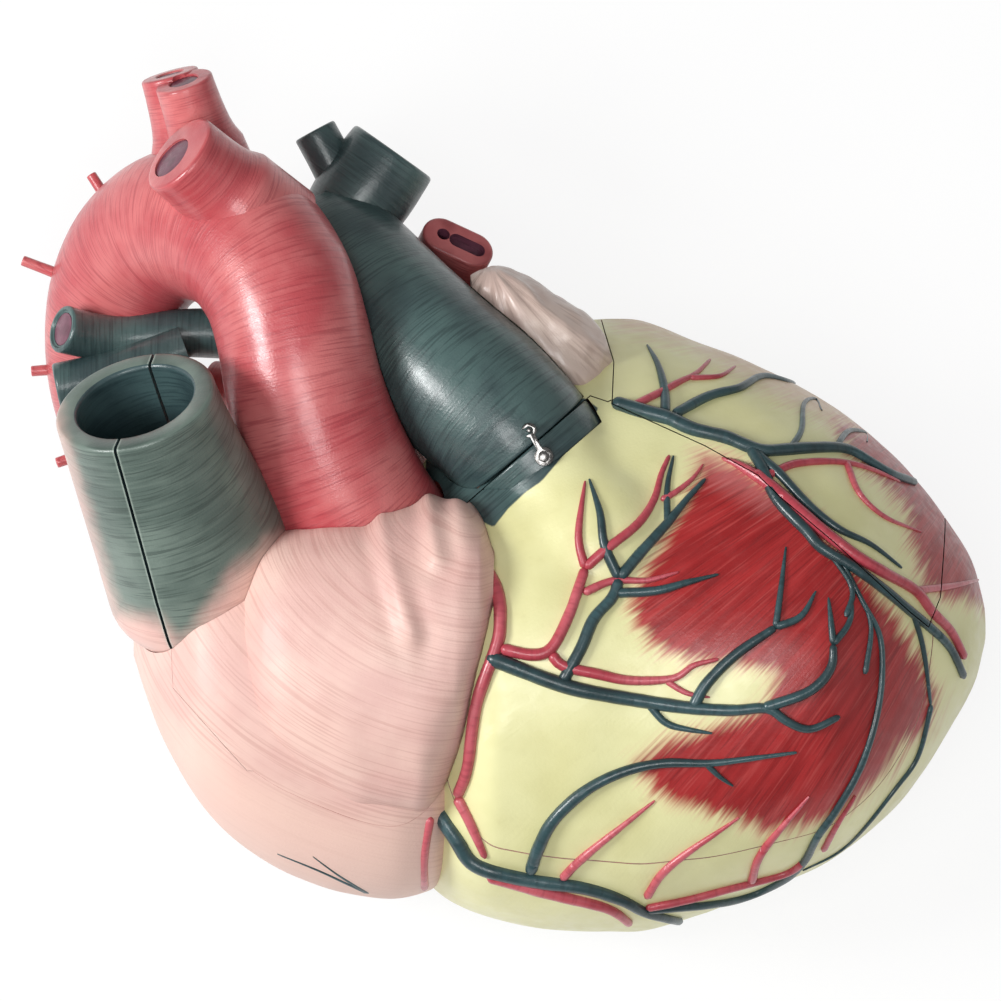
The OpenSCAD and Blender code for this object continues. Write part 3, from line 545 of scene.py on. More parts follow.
# %% The ventricles' shell, cut into three walls
tricuspid_place, mitral_place = (-38, -98, -22), (-38, -8, -62)
VALVE_BORE, VALVE_RING_T, VALVE_SEAT_H = 42, 4, 16
PEG_LEN, BOSS_OD, BOSS_LEN = 5.5, 13, 9
SOCKET_LEN = PEG_LEN + 1.8
peg_places = [(-6, -138), (70, -152), (176, -90)]
left_peg_places = [(74, 65.5), (166, 16)]
outer_heart = pushed(skin(ventricles, along=150, around=220), heart_muscle)
HEART_GRAIN, MELTING = 2.4, 22
outer_heart = evened(carved(outer_heart, ("UNION", rod(conus_path, spokes=96, side=OUTSIDE))), HEART_GRAIN)
for _ in range(MELTING):  # melts the crease between the conus and the ventricle
    down = [(v, (conus_place - v.co).dot(conus_axis)) for v in outer_heart.verts]
    soft = [v for v, depth in down if 17 < depth < 90 and v.co.z > 10 and v.co.x < 84]
    bmesh.ops.smooth_vert(outer_heart, verts=soft, factor=0.5, use_axis_x=True, use_axis_y=True,
                          use_axis_z=True)
hollow = minus(skin(ventricles, WALL, 96, 128, INSIDE), under_table(WALL))
for face in hollow.faces:
    face.material_index = INSIDE


def seam_at(x):
    return SEAM_DEPTH / cos(atan(SEAM_SLOPE)) - SEAM_SLOPE * x


def boss_rooms():
    spots = [(x, y, seam_at(x)) for x, y in peg_places] + [(x, y, LEFT_SEAM_DEPTH) for x,
                                                           y in left_peg_places]
    return [drum(p, (0, 0, 1), -BOSS_LEN, SOCKET_LEN, BOSS_OD / 2 + 0.15, 32, INSIDE) for p in spots]


def valve_seat(p):
    return drum(p, (1, 0, 0), -VALVE_SEAT_H / 2, VALVE_SEAT_H / 2, VALVE_BORE / 2 + VALVE_RING_T + 0.2,
                side=INSIDE)


heart = minus(
    outer_heart, hollow, rod(conus_path, (CONUS_BORE - CONUS_OD) / 2, 6, side=INSIDE),
    rod(aorta_path[:30], AORTA_ROOM, 8, side=INSIDE), rod(trunk_path[:20], 0.3, side=EDGE),
    valve_seat(tricuspid_place), valve_seat(mitral_place), *boss_rooms())
ring_room = drum(conus_place, conus_axis, -CONUS_RING_H - 0.01, 20, CONUS_OD / 2 + 1.2, side=EDGE)
front, left = front_zone(-SEAM_GAP / 2), left_zone(-SEAM_GAP / 2)
front_room, left_room = front_zone(SEAM_GAP / 2), left_zone(SEAM_GAP / 2)
tight_front, tight_room = front_zone(-TIGHT_GAP / 2), front_zone(TIGHT_GAP / 2)
right_ventricle_wall = carved(heart, ("INTERSECT", front), ("DIFFERENCE", left_room),
                              ("DIFFERENCE", ring_room))
left_ventricle_wall = carved(heart, ("INTERSECT", left))
ventricle_shell = minus(heart, front_room, left_room, under_table())
for name, bm in (("front", right_ventricle_wall), ("left", left_ventricle_wall), ("rear", ventricle_shell)):
    print(name, len(bm.faces), "faces", round(bm.calc_volume() / 1000), "cm3")

# %% [markdown]
# ## Brushed paint
# The real model is cast in plastic, sprayed in soft base colours, and then striped by hand with a
# thin brush. The stripes follow the form: round a vessel, out from the root of a muscle, slantwise
# over the auricle. An image texture could hold them, but noise can draw them anywhere: each piece
# stores one number per point, the distance across its strokes, and a noise that changes fast with
# that number and slowly in space makes long thin strokes.

# %% Nodes of a paint
def colour(code):
    """A colour as it is seen on the screen, such as C8505F, in the linear values of the shader."""
    parts = [int(code[i:i + 2], 16) / 255 for i in (0, 2, 4)]
    return (*[p / 12.92 if p <= 0.04045 else ((p + 0.055) / 1.055) ** 2.4 for p in parts], 1)


class Paint:
    """A material whose nodes are added one by one."""

    def __init__(self, name, roughness, coat=0.0, metallic=0.0):
        self.material = bpy.data.materials.new(name)
        self.material.use_nodes = True
        self.tree = self.material.node_tree
        self.shader = self.tree.nodes["Principled BSDF"]
        self.shader.inputs["Roughness"].default_value = roughness
        self.shader.inputs["Metallic"].default_value = metallic
        self.shader.inputs["Coat Weight"].default_value = coat
        self.shader.inputs["Coat Roughness"].default_value = 0.22
        self.where = self.tree.nodes.new("ShaderNodeTexCoord").outputs["Object"]

    def add(self, kind, inputs, output=0, **settings):
        node = self.tree.nodes.new("ShaderNode" + kind)
        for key, value in settings.items():
            setattr(node, key, value)
        for key, value in inputs.items():
            if isinstance(value, bpy.types.NodeSocket):
                self.tree.links.new(value, node.inputs[key])
            else:
                node.inputs[key].default_value = value
        return node.outputs[output]

    def mark(self, name):
        return self.add("Attribute", {}, "Fac", attribute_name=name)

    def math(self, operation, a, b):
        return self.add("Math", {0: a, 1: b}, operation=operation)

    def clouds(self, size_mm, detail=3):
        return self.add("TexNoise", {"Vector": self.where, "Scale": 1 / (size_mm * MM), "Detail": detail})

    def strokes(self, width_mm, length_mm, detail=1.5, mark="across"):
        fast = self.math("MULTIPLY", self.mark(mark), length_mm * MM / width_mm)
        return self.add("TexNoise", {"Vector": self.where, "W": fast, "Scale": 1 / (length_mm * MM),
                                     "Detail": detail}, noise_dimensions="4D")

    def ramp(self, value, low, high, to_low=0.0, to_high=1.0):
        return self.add("MapRange", {"Value": value, "From Min": low, "From Max": high, "To Min": to_low,
                                     "To Max": to_high}, interpolation_type="SMOOTHSTEP")

    def mix(self, share, a, b):
        return self.add("Mix", {0: share, 6: a, 7: b}, 2, data_type="RGBA")

    def bumped(self, height, depth_mm, strength=0.6):
        bump = self.add("Bump", {"Height": height, "Distance": depth_mm * MM, "Strength": strength})
        self.tree.links.new(bump, self.shader.inputs["Normal"])

    def colours(self, socket, roughness=None):
        self.tree.links.new(socket, self.shader.inputs["Base Color"])
        if roughness:
            self.tree.links.new(roughness, self.shader.inputs["Roughness"])
        return self.material


# %% Stripes of one brush, and the paint of the ventricles
def striped(paint, base, dark, light, width, length, share):
    """A base colour with dark and light brush strokes along the form."""
    hair, second = paint.strokes(width, length), paint.strokes(width * 2.3, length * 1.4)
    tone = paint.mix(paint.ramp(paint.clouds(38), 0.35, 0.68), colour(base), colour(light))
    tone = paint.mix(paint.ramp(second, 0.46, 0.68, 0, share * 0.6), tone, colour(light))
    return paint.mix(paint.ramp(hair, 0.48, 0.66, 0, share), tone, colour(dark)), hair


VEIN_TONES = ("36484A", "243638", "4C6462")


def heart_paint():
    paint = Paint("fat_and_muscle", 0.4, coat=0.15)
    hair, lock, fine = paint.strokes(1.1, 30), paint.strokes(4, 60), paint.strokes(0.8, 22)
    fat = paint.mix(paint.ramp(paint.clouds(34), 0.35, 0.7), colour("E8E5AE"), colour("DEDAA0"))
    fat = paint.mix(paint.ramp(paint.clouds(9, 5), 0.6, 0.8, 0, 0.3), fat, colour("CFCA90"))
    red = paint.mix(paint.ramp(lock, 0.35, 0.65), colour("941A1C"), colour("AA2829"))
    red = paint.mix(paint.ramp(hair, 0.52, 0.7, 0, 0.4), red, colour("C25450"))
    red = paint.mix(paint.ramp(fine, 0.52, 0.68, 0, 0.5), red, colour("701115"))
    ragged = paint.math("ADD", paint.math("MULTIPLY", paint.math("SUBTRACT", hair, 0.5), 15),
                        paint.math("MULTIPLY", paint.math("SUBTRACT", lock, 0.5), 9))
    edge = paint.math("ADD", paint.mark("muscle"), ragged)
    under = paint.mix(paint.ramp(edge, -9, 3, 0, 0.45), fat, colour("DC9A80"))
    base = paint.mix(paint.ramp(edge, -4.5, 5), under, red)
    haze = paint.math("ADD", paint.mark("haze"),
                      paint.math("MULTIPLY", paint.math("SUBTRACT", hair, 0.5), 14))
    base = paint.mix(paint.ramp(haze, -7, 9, 0, 0.5), base, colour("D08482"))
    collar = striped(paint, *VEIN_TONES, 0.8, 20, 0.6)[0]
    base = paint.mix(paint.ramp(paint.mark("collar"), -0.3, 0.5), base, collar)
    paint.bumped(paint.math("ADD", hair, paint.clouds(1.6, 2)), 0.3, 0.3)
    return paint.colours(base, paint.ramp(paint.clouds(6), 0.3, 0.7, 0.32, 0.46))


# %% Paints of the atria and of the vessels
def brushed(name, base, dark, light, width, length, share=0.5, roughness=0.38, coat=0.2, relief=0.22):
    """One colour with darker and lighter brush strokes along the form."""
    paint = Paint(name, roughness, coat)
    tone, hair = striped(paint, base, dark, light, width, length, share)
    paint.bumped(paint.math("ADD", hair, paint.clouds(1.4, 2)), relief)
    return paint, tone


def plain_brushed(*recipe, **rest):
    paint, tone = brushed(*recipe, **rest)
    return paint.colours(tone, paint.ramp(paint.clouds(5), 0.3, 0.7, 0.3, 0.44))


def airbrushed(name, *recipe, into, **rest):
    """Brushed paint that turns into another one where the mark green is above zero."""
    paint, tone = brushed(name, *recipe, **rest)
    smooth = paint.mix(paint.ramp(paint.mark("plain"), -8, 10, 0, 0.8), tone, colour("E8C4B6"))
    other = striped(paint, *into, 1.0, 24, 0.6)[0]
    drift = paint.math("ADD", paint.mark("green"), paint.math("MULTIPLY", paint.clouds(12), 6))
    mixed = paint.mix(paint.ramp(drift, -5, 9), smooth, other)
    # Painted highlight: a pale grey-green line along each side of the vena cava's slit, in place of the light a
    # rounded edge would catch.
    slit_highlight = paint.ramp(paint.mark("slit_edge_highlight"), 0.2, 1.2, 0.4, 0)
    return paint.colours(paint.mix(slit_highlight, mixed, colour("B4C2B6")))


heart_outside = heart_paint()
CAVA_TONES = ("55645D", "3A4742", "738279")
auricle_outside = airbrushed("auricle_pink", "DAB0A7", "BE8C82", "E4C0B4", 0.95, 46, into=CAVA_TONES,
                             share=0.4,
                               roughness=0.52, coat=0.06)
vena_cava_outside = airbrushed("vena_cava_green", "DAB0A7", "BE8C82", "E4C0B4", 0.95, 30, into=CAVA_TONES,
                               share=0.4)
chamber_outside = plain_brushed("chamber_brick_pink", "C0807A", "97605A", "D09A92", 1.2, 30)
left_auricle_outside = plain_brushed("left_auricle_grey", "C6AEA4", "A0867A", "D8C4B8", 1.1, 22, share=0.45)
aorta_outside = plain_brushed("aorta_crimson", "B84A50", "96303A", "CC7070", 0.75, 20, share=0.5,
                              roughness=0.3, coat=0.35)
vein_outside = plain_brushed("vein_green", *VEIN_TONES, 0.8, 20, share=0.6, roughness=0.3, coat=0.35)
vein_bore = plain_brushed("vein_bore", "2F4145", "1F3035", "43595A", 1.2, 20)
artery_bore = plain_brushed("artery_bore", "8E3A40", "6A2228", "A85458", 1.2, 20)
stub_outside = plain_brushed("vein_stub_red", "A8484C", "84282F", "C26A6A", 1.0, 14, share=0.5)
coronary_red = plain_brushed("coronary_red", "B23F4C", "942E3A", "C8606A", 1.8, 9, share=0.4, roughness=0.3,
                             coat=0.3)
coronary_blue = plain_brushed("coronary_blue", "21393D", "162B2F", "365459", 1.8, 9, share=0.4,
                              roughness=0.3, coat=0.3)
chamber_inside = plain_brushed("chamber_inside", "A8423E", "7E2626", "C46A60", 1.6, 22, share=0.5,
                               roughness=0.45)
atrium_inside = plain_brushed("atrium_inside", "C98078", "A85C56", "DB9C92", 1.6, 22, share=0.5,
                              roughness=0.45)
muscle_paint = plain_brushed("papillary_muscle", "B04A44", "802B2A", "CC6E64", 1.2, 18, share=0.6)
atrium_edge = plain_brushed("atrium_edge", "C08A80", "A06C62", "D4A498", 1.4, 12, share=0.4, roughness=0.5)
seam_edge = plain_brushed("seam_edge", "8A5A48", "6C4236", "A67660", 1.4, 12, share=0.4, roughness=0.55)
purple_paint = plain_brushed("vessel_end_purple", "5C2C3E", "44202E", "744456", 1.4, 8, share=0.5)
valve_paint = plain_brushed("valve_ivory", "E0CFAE", "BFA884", "ECE0C6", 1.2, 10, share=0.4)
peg_plastic = plain_brushed("peg_plastic", "E4E0D2", "CFC9B6", "EDEADF", 3, 9, share=0.2, roughness=0.3)


def metal_paint():
    paint = Paint("bright_metal", 0.22, metallic=1.0)
    worn = paint.mix(paint.ramp(paint.clouds(2.5, 4), 0.4, 0.7), colour("8C8A88"), colour("5E5C5A"))
    paint.bumped(paint.clouds(0.5, 2), 0.04, 0.4)
    return paint.colours(worn, paint.ramp(paint.clouds(1.2), 0.3, 0.7, 0.14, 0.3))


bright_metal = metal_paint()
print("paints", len(bpy.data.materials))

# %% [markdown]
# ## Finishing a piece
# A finished piece is a mesh in the table's frame with its marks, its paints and smooth shading that
# breaks at real edges. It rides on its body and stands for its CAD nodes, which it hides.

# %% Finished pieces
def with_marks(mesh, marks):
    for name, values in marks.items():
        mark = mesh.attributes.new(name, "FLOAT", "POINT")
        mark.data.foreach_set("value", np.asarray(values, np.float32))


def finished(name, bm, body, nodes, paints, marks=None, crease=38, turned=LIE):
    points = points_of(bm)
    bmesh.ops.transform(bm, matrix=turned, verts=bm.verts)
    mesh = bpy.data.meshes.new(name)
    bm.to_mesh(mesh)
    bm.free()
    with_marks(mesh, marks(points) if marks else {"across": points @ np.array([0.3, 0.6, 1.0])})
    mesh.shade_smooth()
    mesh.set_sharp_from_angle(angle=radians(crease))
    for paint in paints:
        mesh.materials.append(paint)
    piece = bpy.data.objects.new(name, mesh)
    scene.collection.objects.link(piece)
    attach(piece, body)
    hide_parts(*nodes)
    print(name, len(mesh.polygons), "faces")
    return piece


# %% Where the brush went: marks of the heart's walls
FAN_ROOT = on_face((1130, 270))[0]
FAN_REACH = 250
red_areas = [on_face(
    (704, 458), (745, 470), (790, 500), (832, 545), (872, 590), (902, 632), (934, 690), (926, 728),
    (900, 745),
    (884, 775), (852, 800), (812, 818), (765, 826), (705, 808), (655, 788), (634, 760), (668, 738),
    (722, 722),
    (766, 704), (772, 672), (736, 662), (690, 660), (648, 640), (630, 606), (644, 566), (684, 506),
    (694, 474)),
    on_face((838, 424), (880, 430), (920, 458), (950, 505), (980, 545), (1005, 590), (1000, 612),
            (960, 598),
            (925, 588), (914, 545), (904, 505), (885, 482), (862, 464), (846, 448))]
haze_areas = [on_face((600, 300), (700, 318), (800, 360), (850, 390), (905, 432), (870, 440), (830, 424),
                      (760, 388), (690, 346), (620, 328)),
              on_face((688, 448), (722, 446), (760, 474), (785, 505), (760, 510), (704, 480))]
collar_area = on_face((425, 440), (425, 506), (462, 505), (480, 520), (493, 527), (508, 508), (525, 492),
                      (541, 481),
                      (552, 468), (575, 441), (588, 425), (598, 408), (585, 398), (560, 395), (500, 440))


def best_of(areas, points, limit=30):
    return np.clip(np.max([within(area, points) for area in areas], axis=0), -limit, limit)


def heart_marks(points):
    right, up = (points[:, k] - FAN_ROOT[k] for k in (0, 1))
    turn = np.arctan2(up + right, right - up)  # its jump points up and to the left
    collar = np.where(points[:, 2] > -20, best_of([collar_area], points), -30)
    return {"across": np.where(collar > 0, points @ np.array(conus_axis), turn * FAN_REACH),
            "muscle": best_of(red_areas, points), "haze": best_of(haze_areas, points), "collar": collar}


# %% The three walls of the ventricles
for name, bm, body in (("right_ventricle_wall_skin", right_ventricle_wall, "front_wall"),
                       ("left_ventricle_wall_skin", left_ventricle_wall, "left_wall"),
                       ("ventricle_shell_skin", ventricle_shell, "rear")):
    finished(name, bm, body, [name.removesuffix("_skin")],
             [heart_outside, chamber_inside, seam_edge], heart_marks)

# %% [markdown]
# ## The right atrium and its auricle
# The thin-walled right atrium stands left of the ventricles, and its auricle lies on it like a
# creased cushion. Both are hollow or solid skins cut by their neighbours, so the auricle meets the
# aorta, the vena cava and the ventricle in tight seams. Its creases are narrow dents along lines.

# %% Marks of the atria
BRUSH_CENTRE = on_face((500, 390))[0]  # the hairs lie on wide arcs round this place
green_area = on_face((30, 300), (118, 609), (163, 619), (181, 640), (193, 630), (233, 568), (290, 522),
                     (300, 440), (240, 300))
smooth_area = on_face((100, 640), (150, 690), (190, 740), (271, 785), (319, 806), (376, 823), (425, 822),
                      (440, 900), (300, 920), (100, 800))


def atrium_marks(points):
    off = points[:, :2] - np.array(BRUSH_CENTRE)
    return {"across": np.hypot(off[:, 0], off[:, 1]) - 0.25 * points[:, 2],
            "green": np.full(len(points), -30),
            "plain": best_of([smooth_area], points), "slit_edge_highlight": np.full(len(points), 9)}


# %% The right atrium
IVC_OD, IVC_BORE = 54, 38
ivc_place = (-105, -120)
inner_atrium = skin(right_atrium, WALL, 96, 128, INSIDE)
svc_room = rod(svc_path, 0.4, side=EDGE)
aorta_room = rod(aorta_path, AORTA_ROOM, side=EDGE)
trunk_room = rod(trunk_path, 0.4, side=EDGE)
ivc_room = drum((*ivc_place, -FAR), (0, 0, 1), 0, FAR - 60, IVC_OD / 2 + 0.2)
atrium = minus(pushed(skin(right_atrium, along=110, around=160), lambda p: 0.8 * waviness(p, 40, 9)),
               inner_atrium, outer_heart, aorta_room, trunk_room, svc_room, ivc_room)
atrium_walls = [auricle_outside, atrium_inside, atrium_edge]
finished("right_atrium_wall_skin", carved(atrium, ("INTERSECT", tight_front), ("DIFFERENCE", left_room)),
         "front_wall", ["right_atrium_wall"], atrium_walls, atrium_marks)
finished("right_atrium_back_skin", minus(atrium, tight_room, left_room, under_table()),
         "rear", ["right_atrium_back"], atrium_walls, atrium_marks)

# %% The right auricle and its creases
creases = [(on_face((381, 518), (386, 550), (398, 590), (412, 634)), 2.4, 4.2),
           (on_face((428, 498), (431, 530), (437, 558)), 2.2, 4.0),
           (on_face((398, 512), (402, 540)), 0.9, 5)]


def auricle_folds(points):
    fold = 1.3 * waviness(points, 30, 3) + 0.4 * waviness(points, 11, 4)
    for line, depth, width in creases:
        away = distance_to(line, points)
        fold -= depth * np.exp(-(away / width) ** 2) - 0.4 * depth * np.exp(-((away - 2.2 * width) / width) ** 2)
    return fold


lobe = pushed(skin(auricle_lobe, along=120, around=170), auricle_folds)
auricle = carved(
    lobe, ("DIFFERENCE", skin(right_atrium, 0.6, 96, 128, EDGE)),
    ("DIFFERENCE", skin(ventricles, -2.4, 96, 160, EDGE)), ("DIFFERENCE", svc_room),
    ("DIFFERENCE", aorta_room),
    ("DIFFERENCE", rod(trunk_path, 1, side=EDGE)),
    ("DIFFERENCE", drum(conus_place, conus_axis, -30, 30, CONUS_OD / 2 + 0.5)),
    ("INTERSECT", front), ("DIFFERENCE", left_room))
finished("right_auricle_skin", auricle, "front_wall", ["right_auricle"], atrium_walls,
         atrium_marks)

# %% [markdown]
# ## The left atrium and its wrinkled auricle
# The left atrium hides behind the great vessels. Its auricle shows as a small grey-pink cushion
# with wrinkles that fan out from its root. Ridges come from a sine of the turn about that root,
# bent by noise so that no two are alike.

# %% The left side
lobe_root = on_face((488, 262))[0]


def wrinkles(points):
    turn = np.arctan2(points[:, 1] - lobe_root[1], points[:, 0] - lobe_root[0])
    away = np.hypot(points[:, 0] - lobe_root[0], points[:, 1] - lobe_root[1])
    wave = np.sin(turn * 17 + 2.6 * waviness(points, 14, 7))
    return (1.25 * wave * np.clip(away / 25, 0, 1) * (0.6 + 0.6 * waviness(points, 20, 11))
            + 0.5 * waviness(points, 6, 13))


def lobe_marks(points):
    return {"across": np.arctan2(points[:, 1] - lobe_root[1], points[:, 0] - lobe_root[0]) * 40}


left_skin = skin(left_atrium, along=80, around=120)
upper_room = rod(right_lung_upper, 0.3, side=EDGE)
right_vein_places, right_vein_axis = [(-112, 52, -92), (-110, -2, -90)], (-0.9, 0.15, -0.4)
RIGHT_VEIN_OD, RIGHT_VEIN_BORE, RIGHT_VEIN_LEN = 22, 12, 30
vein_rooms = [drum(p, right_vein_axis, -30, 30, RIGHT_VEIN_OD / 2 + 0.2) for p in right_vein_places]
neighbours = [outer_heart, skin(right_atrium, 0, 96, 128, EDGE), aorta_room, trunk_room, svc_room,
              upper_room]
finished("left_atrium_skin", minus(left_skin, skin(left_atrium, WALL, 60, 90, INSIDE), *neighbours,
                                   *vein_rooms,
                                   front_room, left_room, under_table()),
         "rear", ["left_atrium"], [chamber_outside, atrium_inside, seam_edge],
         atrium_marks)
left_cushion = pushed(skin(left_lobe, along=90, around=140), wrinkles)
finished("left_auricle_skin", minus(left_cushion, outer_heart, left_skin, trunk_room, left_zone(SEAM_GAP)),
         "rear", ["left_auricle"], [left_auricle_outside, atrium_inside, seam_edge],
         lobe_marks)

# %% [markdown]
# ## Great vessels
# Each vessel is its own casting. The tubes come from the rings above; branches are rings too, wide
# at the root where they flow out of the arch, with a rounded rim and a shallow seat for the dark
# disc that stands for the opening.

# %% Marks and branches of the vessels
def along_marks(path):
    """The distance along a path, so strokes run round the vessel."""
    path = np.asarray(path)[:, :3]
    run = np.concatenate([[0], np.cumsum(np.linalg.norm(np.diff(path, axis=0), axis=1))])

    def marks(points):
        nearest, along = np.full(len(points), np.inf), np.zeros(len(points))
        for i, (a, b) in enumerate(zip(path, path[1:])):
            t = (points - a) @ (b - a) / ((b - a) @ (b - a))
            away = np.linalg.norm(points - a - np.clip(t, 0, 1)[:, None] * (b - a), axis=1)
            t = np.clip(t, -9 if i == 0 else 0, 9 if i == len(path) - 2 else 1)
            closer = away < nearest
            nearest[closer], along[closer] = away[closer], (run[i] + t * (run[i + 1] - run[i]))[closer]
        return {"across": along}
    return marks


BRANCH_LEN, PLUG_T, FRONT_DISC_R, REAR_DISC_R = 66, 3, 11.15, 6.9


def branch(end, heading, end_r, root_r, flare, seat_r, soft=2.2, length=BRANCH_LEN):
    """A branch drawn back from its end, flaring at its root, with a seat for its disc."""
    matrix = aimed(end, heading)
    rings = []
    for back in np.linspace(length, soft, 26):
        share = back / length
        radius = end_r + (root_r - end_r) * share ** 1.6 + flare * np.exp(-max(0,
                                                                               length * 0.52 - back) / 5.5)
        rings.append(ring(Stop(matrix, radius), 0, -back))
    for t in (k * pi / 8 for k in range(1, 5)):
        rings.append(ring(Stop(matrix, end_r - soft * (1 - cos(t))), 0, soft * (sin(t) - 1)))
    for radius, back in ((seat_r + 0.8, 0), (seat_r + 0.15, 0.6), (seat_r + 0.15, PLUG_T)):
        rings.append(ring(Stop(matrix, radius), 0, -back))
    return through(rings, 56)


def line(start, end, count=8, radius=1):
    return np.column_stack([np.linspace(start, end, count), np.full(count, radius)])


# %% The aorta, its arch and its branches
aorta_solid = rod(aorta_path, 0.05, side=EDGE)
finished("aorta_tube", pipe(aorta_path, ARTERY_WALL, reach=0), "rear", ["aorta"],
         [aorta_outside, artery_bore], along_marks(aorta_path))
arch_front = ((-153, 165, 34), (-0.70, 0.58, 0.42))
arch_rear = [((-158, 203.5, -16), (-0.27, 0.95, 0.15)), ((-151, 200, 2), (-0.30, 0.90, 0.32))]
front_seat = drum((-156.2, 162.8, 31.7), arch_front[1], -PLUG_T, 2, FRONT_DISC_R, 48, OUTSIDE)
front_branch = branch(*arch_front, 21, 22.5, 4, 5)
rear_pair = [branch(*at, 14, 19, 3, 6.75, soft=1.4) for at in arch_rear]
finished("arch_front_branch_tube", minus(front_branch, aorta_solid, *rear_pair, front_seat), "rear",
         ["arch_front_branch"],
         [aorta_outside] * 3,
         along_marks(line(arch_front[0], Vector(arch_front[0]) - Vector(arch_front[1]) * BRANCH_LEN)))
seats = [drum(*at, -PLUG_T, 2, REAR_DISC_R, 32, OUTSIDE) for at in arch_rear]
finished("arch_rear_branches_tube", minus(carved(rear_pair[0], ("UNION", rear_pair[1])), aorta_solid,
                                          *seats),
         "rear", ["arch_rear_branches"], [aorta_outside] * 3,
         along_marks(line(arch_rear[0][0], (-140, 142, -26))))
intercostals = [((-196, 156, -50), (-172, 119, -44)), ((-229, 115, -62), (-184, 98, -58)),
                ((-225, 62, -70), (-187, 65, -69)), ((-213, 18, -74), (-178, 30, -77))]
twigs = bmesh.new()
for tip, foot in intercostals:
    away = Vector(tip) - Vector(foot)
    twig = minus(branch(tip, away, 2.5, 2.6, 1.2, 0.9, 0.5, away.length), aorta_solid)
    mesh = bpy.data.meshes.new("twig")
    twig.to_mesh(mesh)
    twigs.from_mesh(mesh)
finished("intercostal_twigs", twigs, "rear", ["intercostal_stubs"], [aorta_outside] * 3)

# %% The lung arteries and the venae cavae
trunk_solid = rod(trunk_path, 0.05, side=EDGE)
finished("pulmonary_trunk_tube", minus(pipe(trunk_path, ARTERY_WALL, soft=1.2),
                                       rod(aorta_path, 0.3, side=EDGE)),
         "rear", ["pulmonary_trunk"], [vein_outside, vein_bore, vein_bore],
         along_marks(trunk_path))


def capped(path, soft=2.0, rim=4.0, dish=1.0, spokes=64):
    """A solid rod whose far end is cut flat with a rounded edge and a slightly sunken face."""
    stops = rings_along(path)
    rings = [ring(s) for s in stops[:-1]]
    rings += [ring(stops[-1], -soft * (1 - cos(t)),
                   soft * (sin(t) - 1)) for t in (k * pi / 8 for k in range(5))]
    rings += [ring(stops[-1], -rim), ring(stops[-1], -rim - 0.6, -dish)]
    return through(rings, spokes)


finished("left_lung_artery_tube", minus(carved(capped(left_lung_path),
                                               ("UNION", capped(left_lung_side, 1.2, 3))),
                                        trunk_solid, aorta_solid),
         "rear", ["left_lung_artery"], [vein_outside, vein_bore, vein_bore],
         along_marks(left_lung_path))
LUNG_PLUG_R = 8
lung_ends = [((-209.5, 82, -17), (-12.5, 3, 7)), ((-212, 54, -22), (-28, -6, 0))]
lung_seats = [drum(*end, -PLUG_T, 4, LUNG_PLUG_R + 0.15, 48, OUTSIDE) for end in lung_ends]
finished("right_lung_arteries_tube",
         minus(carved(capped(right_lung_upper, 1.5, 2), ("UNION", capped(right_lung_lower, 1.5, 1.5))),
               trunk_solid, aorta_solid, svc_room, *lung_seats),
         "rear", ["right_lung_arteries"], [vein_outside, vein_outside, vein_bore],
         lambda points: {"across": -points[:, 0]})
SLIT = 1.5  # the two halves of the vena cava meet in an open slit
vena_cava = pipe(svc_path, (SVC_OD - SVC_BORE) / 2, soft=2.2)


# The distance to the slit, which the paint turns into a painted highlight along its edges.
def cava_marks(points):
    to_seam = np.abs((points - np.array(svc_rim)) @ np.array(svc_seam.normalized()))
    return {**along_marks(svc_path)(points), "green": best_of([green_area], points),
            "plain": np.full(len(points), -30), "slit_edge_highlight": to_seam - SLIT / 2}


for name, body, turn in (("vena_cava_front", "front_wall", 1), ("vena_cava_rear", "rear", -1)):
    half = aimed(svc_rim, svc_seam * turn) @ Matrix.Translation((0, 0, SLIT / 2))
    finished(name + "_half", carved(vena_cava, ("INTERSECT", block((FAR, FAR, FAR), half))), body, [name],
             [vena_cava_outside, vein_bore, vein_bore], cava_marks)
ivc_path = line((*ivc_place, -130), (*ivc_place, -70), 12, IVC_OD / 2)
finished("lower_vena_cava_collar", minus(pipe(ivc_path, (IVC_OD - IVC_BORE) / 2), under_table()), "rear",
         ["lower_vena_cava"], [vein_outside, vein_bore, vein_bore], along_marks(ivc_path))

# %% The stubs of the lung veins
left_vein_place, left_vein_axis = Vector((-20, 124, -40)), Vector((0.3, 0.55, 0.78))
left_vein_side = Vector((0.905, -0.42, -0.05))
LEFT_VEIN_OD, LEFT_VEIN_PITCH, LEFT_VEIN_LEN, VEIN_SOFT = 20, 16, 48, 1.6
rims = [ring(Stop(aimed(left_vein_place + k * LEFT_VEIN_PITCH * left_vein_side, left_vein_axis),
                  LEFT_VEIN_OD / 2),
             -VEIN_SOFT * (1 - cos(t)), VEIN_SOFT * (sin(t) - 1))
        for k in (-0.5, 0.5) for t in (j * pi / 8 for j in range(5))]
feet = [ring(Stop(aimed(left_vein_place + k * LEFT_VEIN_PITCH * left_vein_side, left_vein_axis),
                  LEFT_VEIN_OD / 2),
             0, -LEFT_VEIN_LEN) for k in (-0.5, 0.5)]
stub = minus(hull(rims + feet, 48, OUTSIDE), left_skin, trunk_room,
             drum(left_vein_place - 0.5 * LEFT_VEIN_PITCH * left_vein_side, left_vein_axis, -14, 6, 3.2, 32,
                  INSIDE),
             hull([ring(Stop(aimed(left_vein_place + (4.5 + k) * left_vein_side, left_vein_axis), 3.7), 0,
                        rise)
                   for k in (-5.5, 5.5) for rise in (-5, 6)], 40, INSIDE))
finished("left_lung_veins_stub", stub, "rear", ["left_lung_veins"],
         [stub_outside, purple_paint, stub_outside],
         along_marks(line(left_vein_place - left_vein_axis.normalized() * LEFT_VEIN_LEN, left_vein_place)))
stubs = bmesh.new()
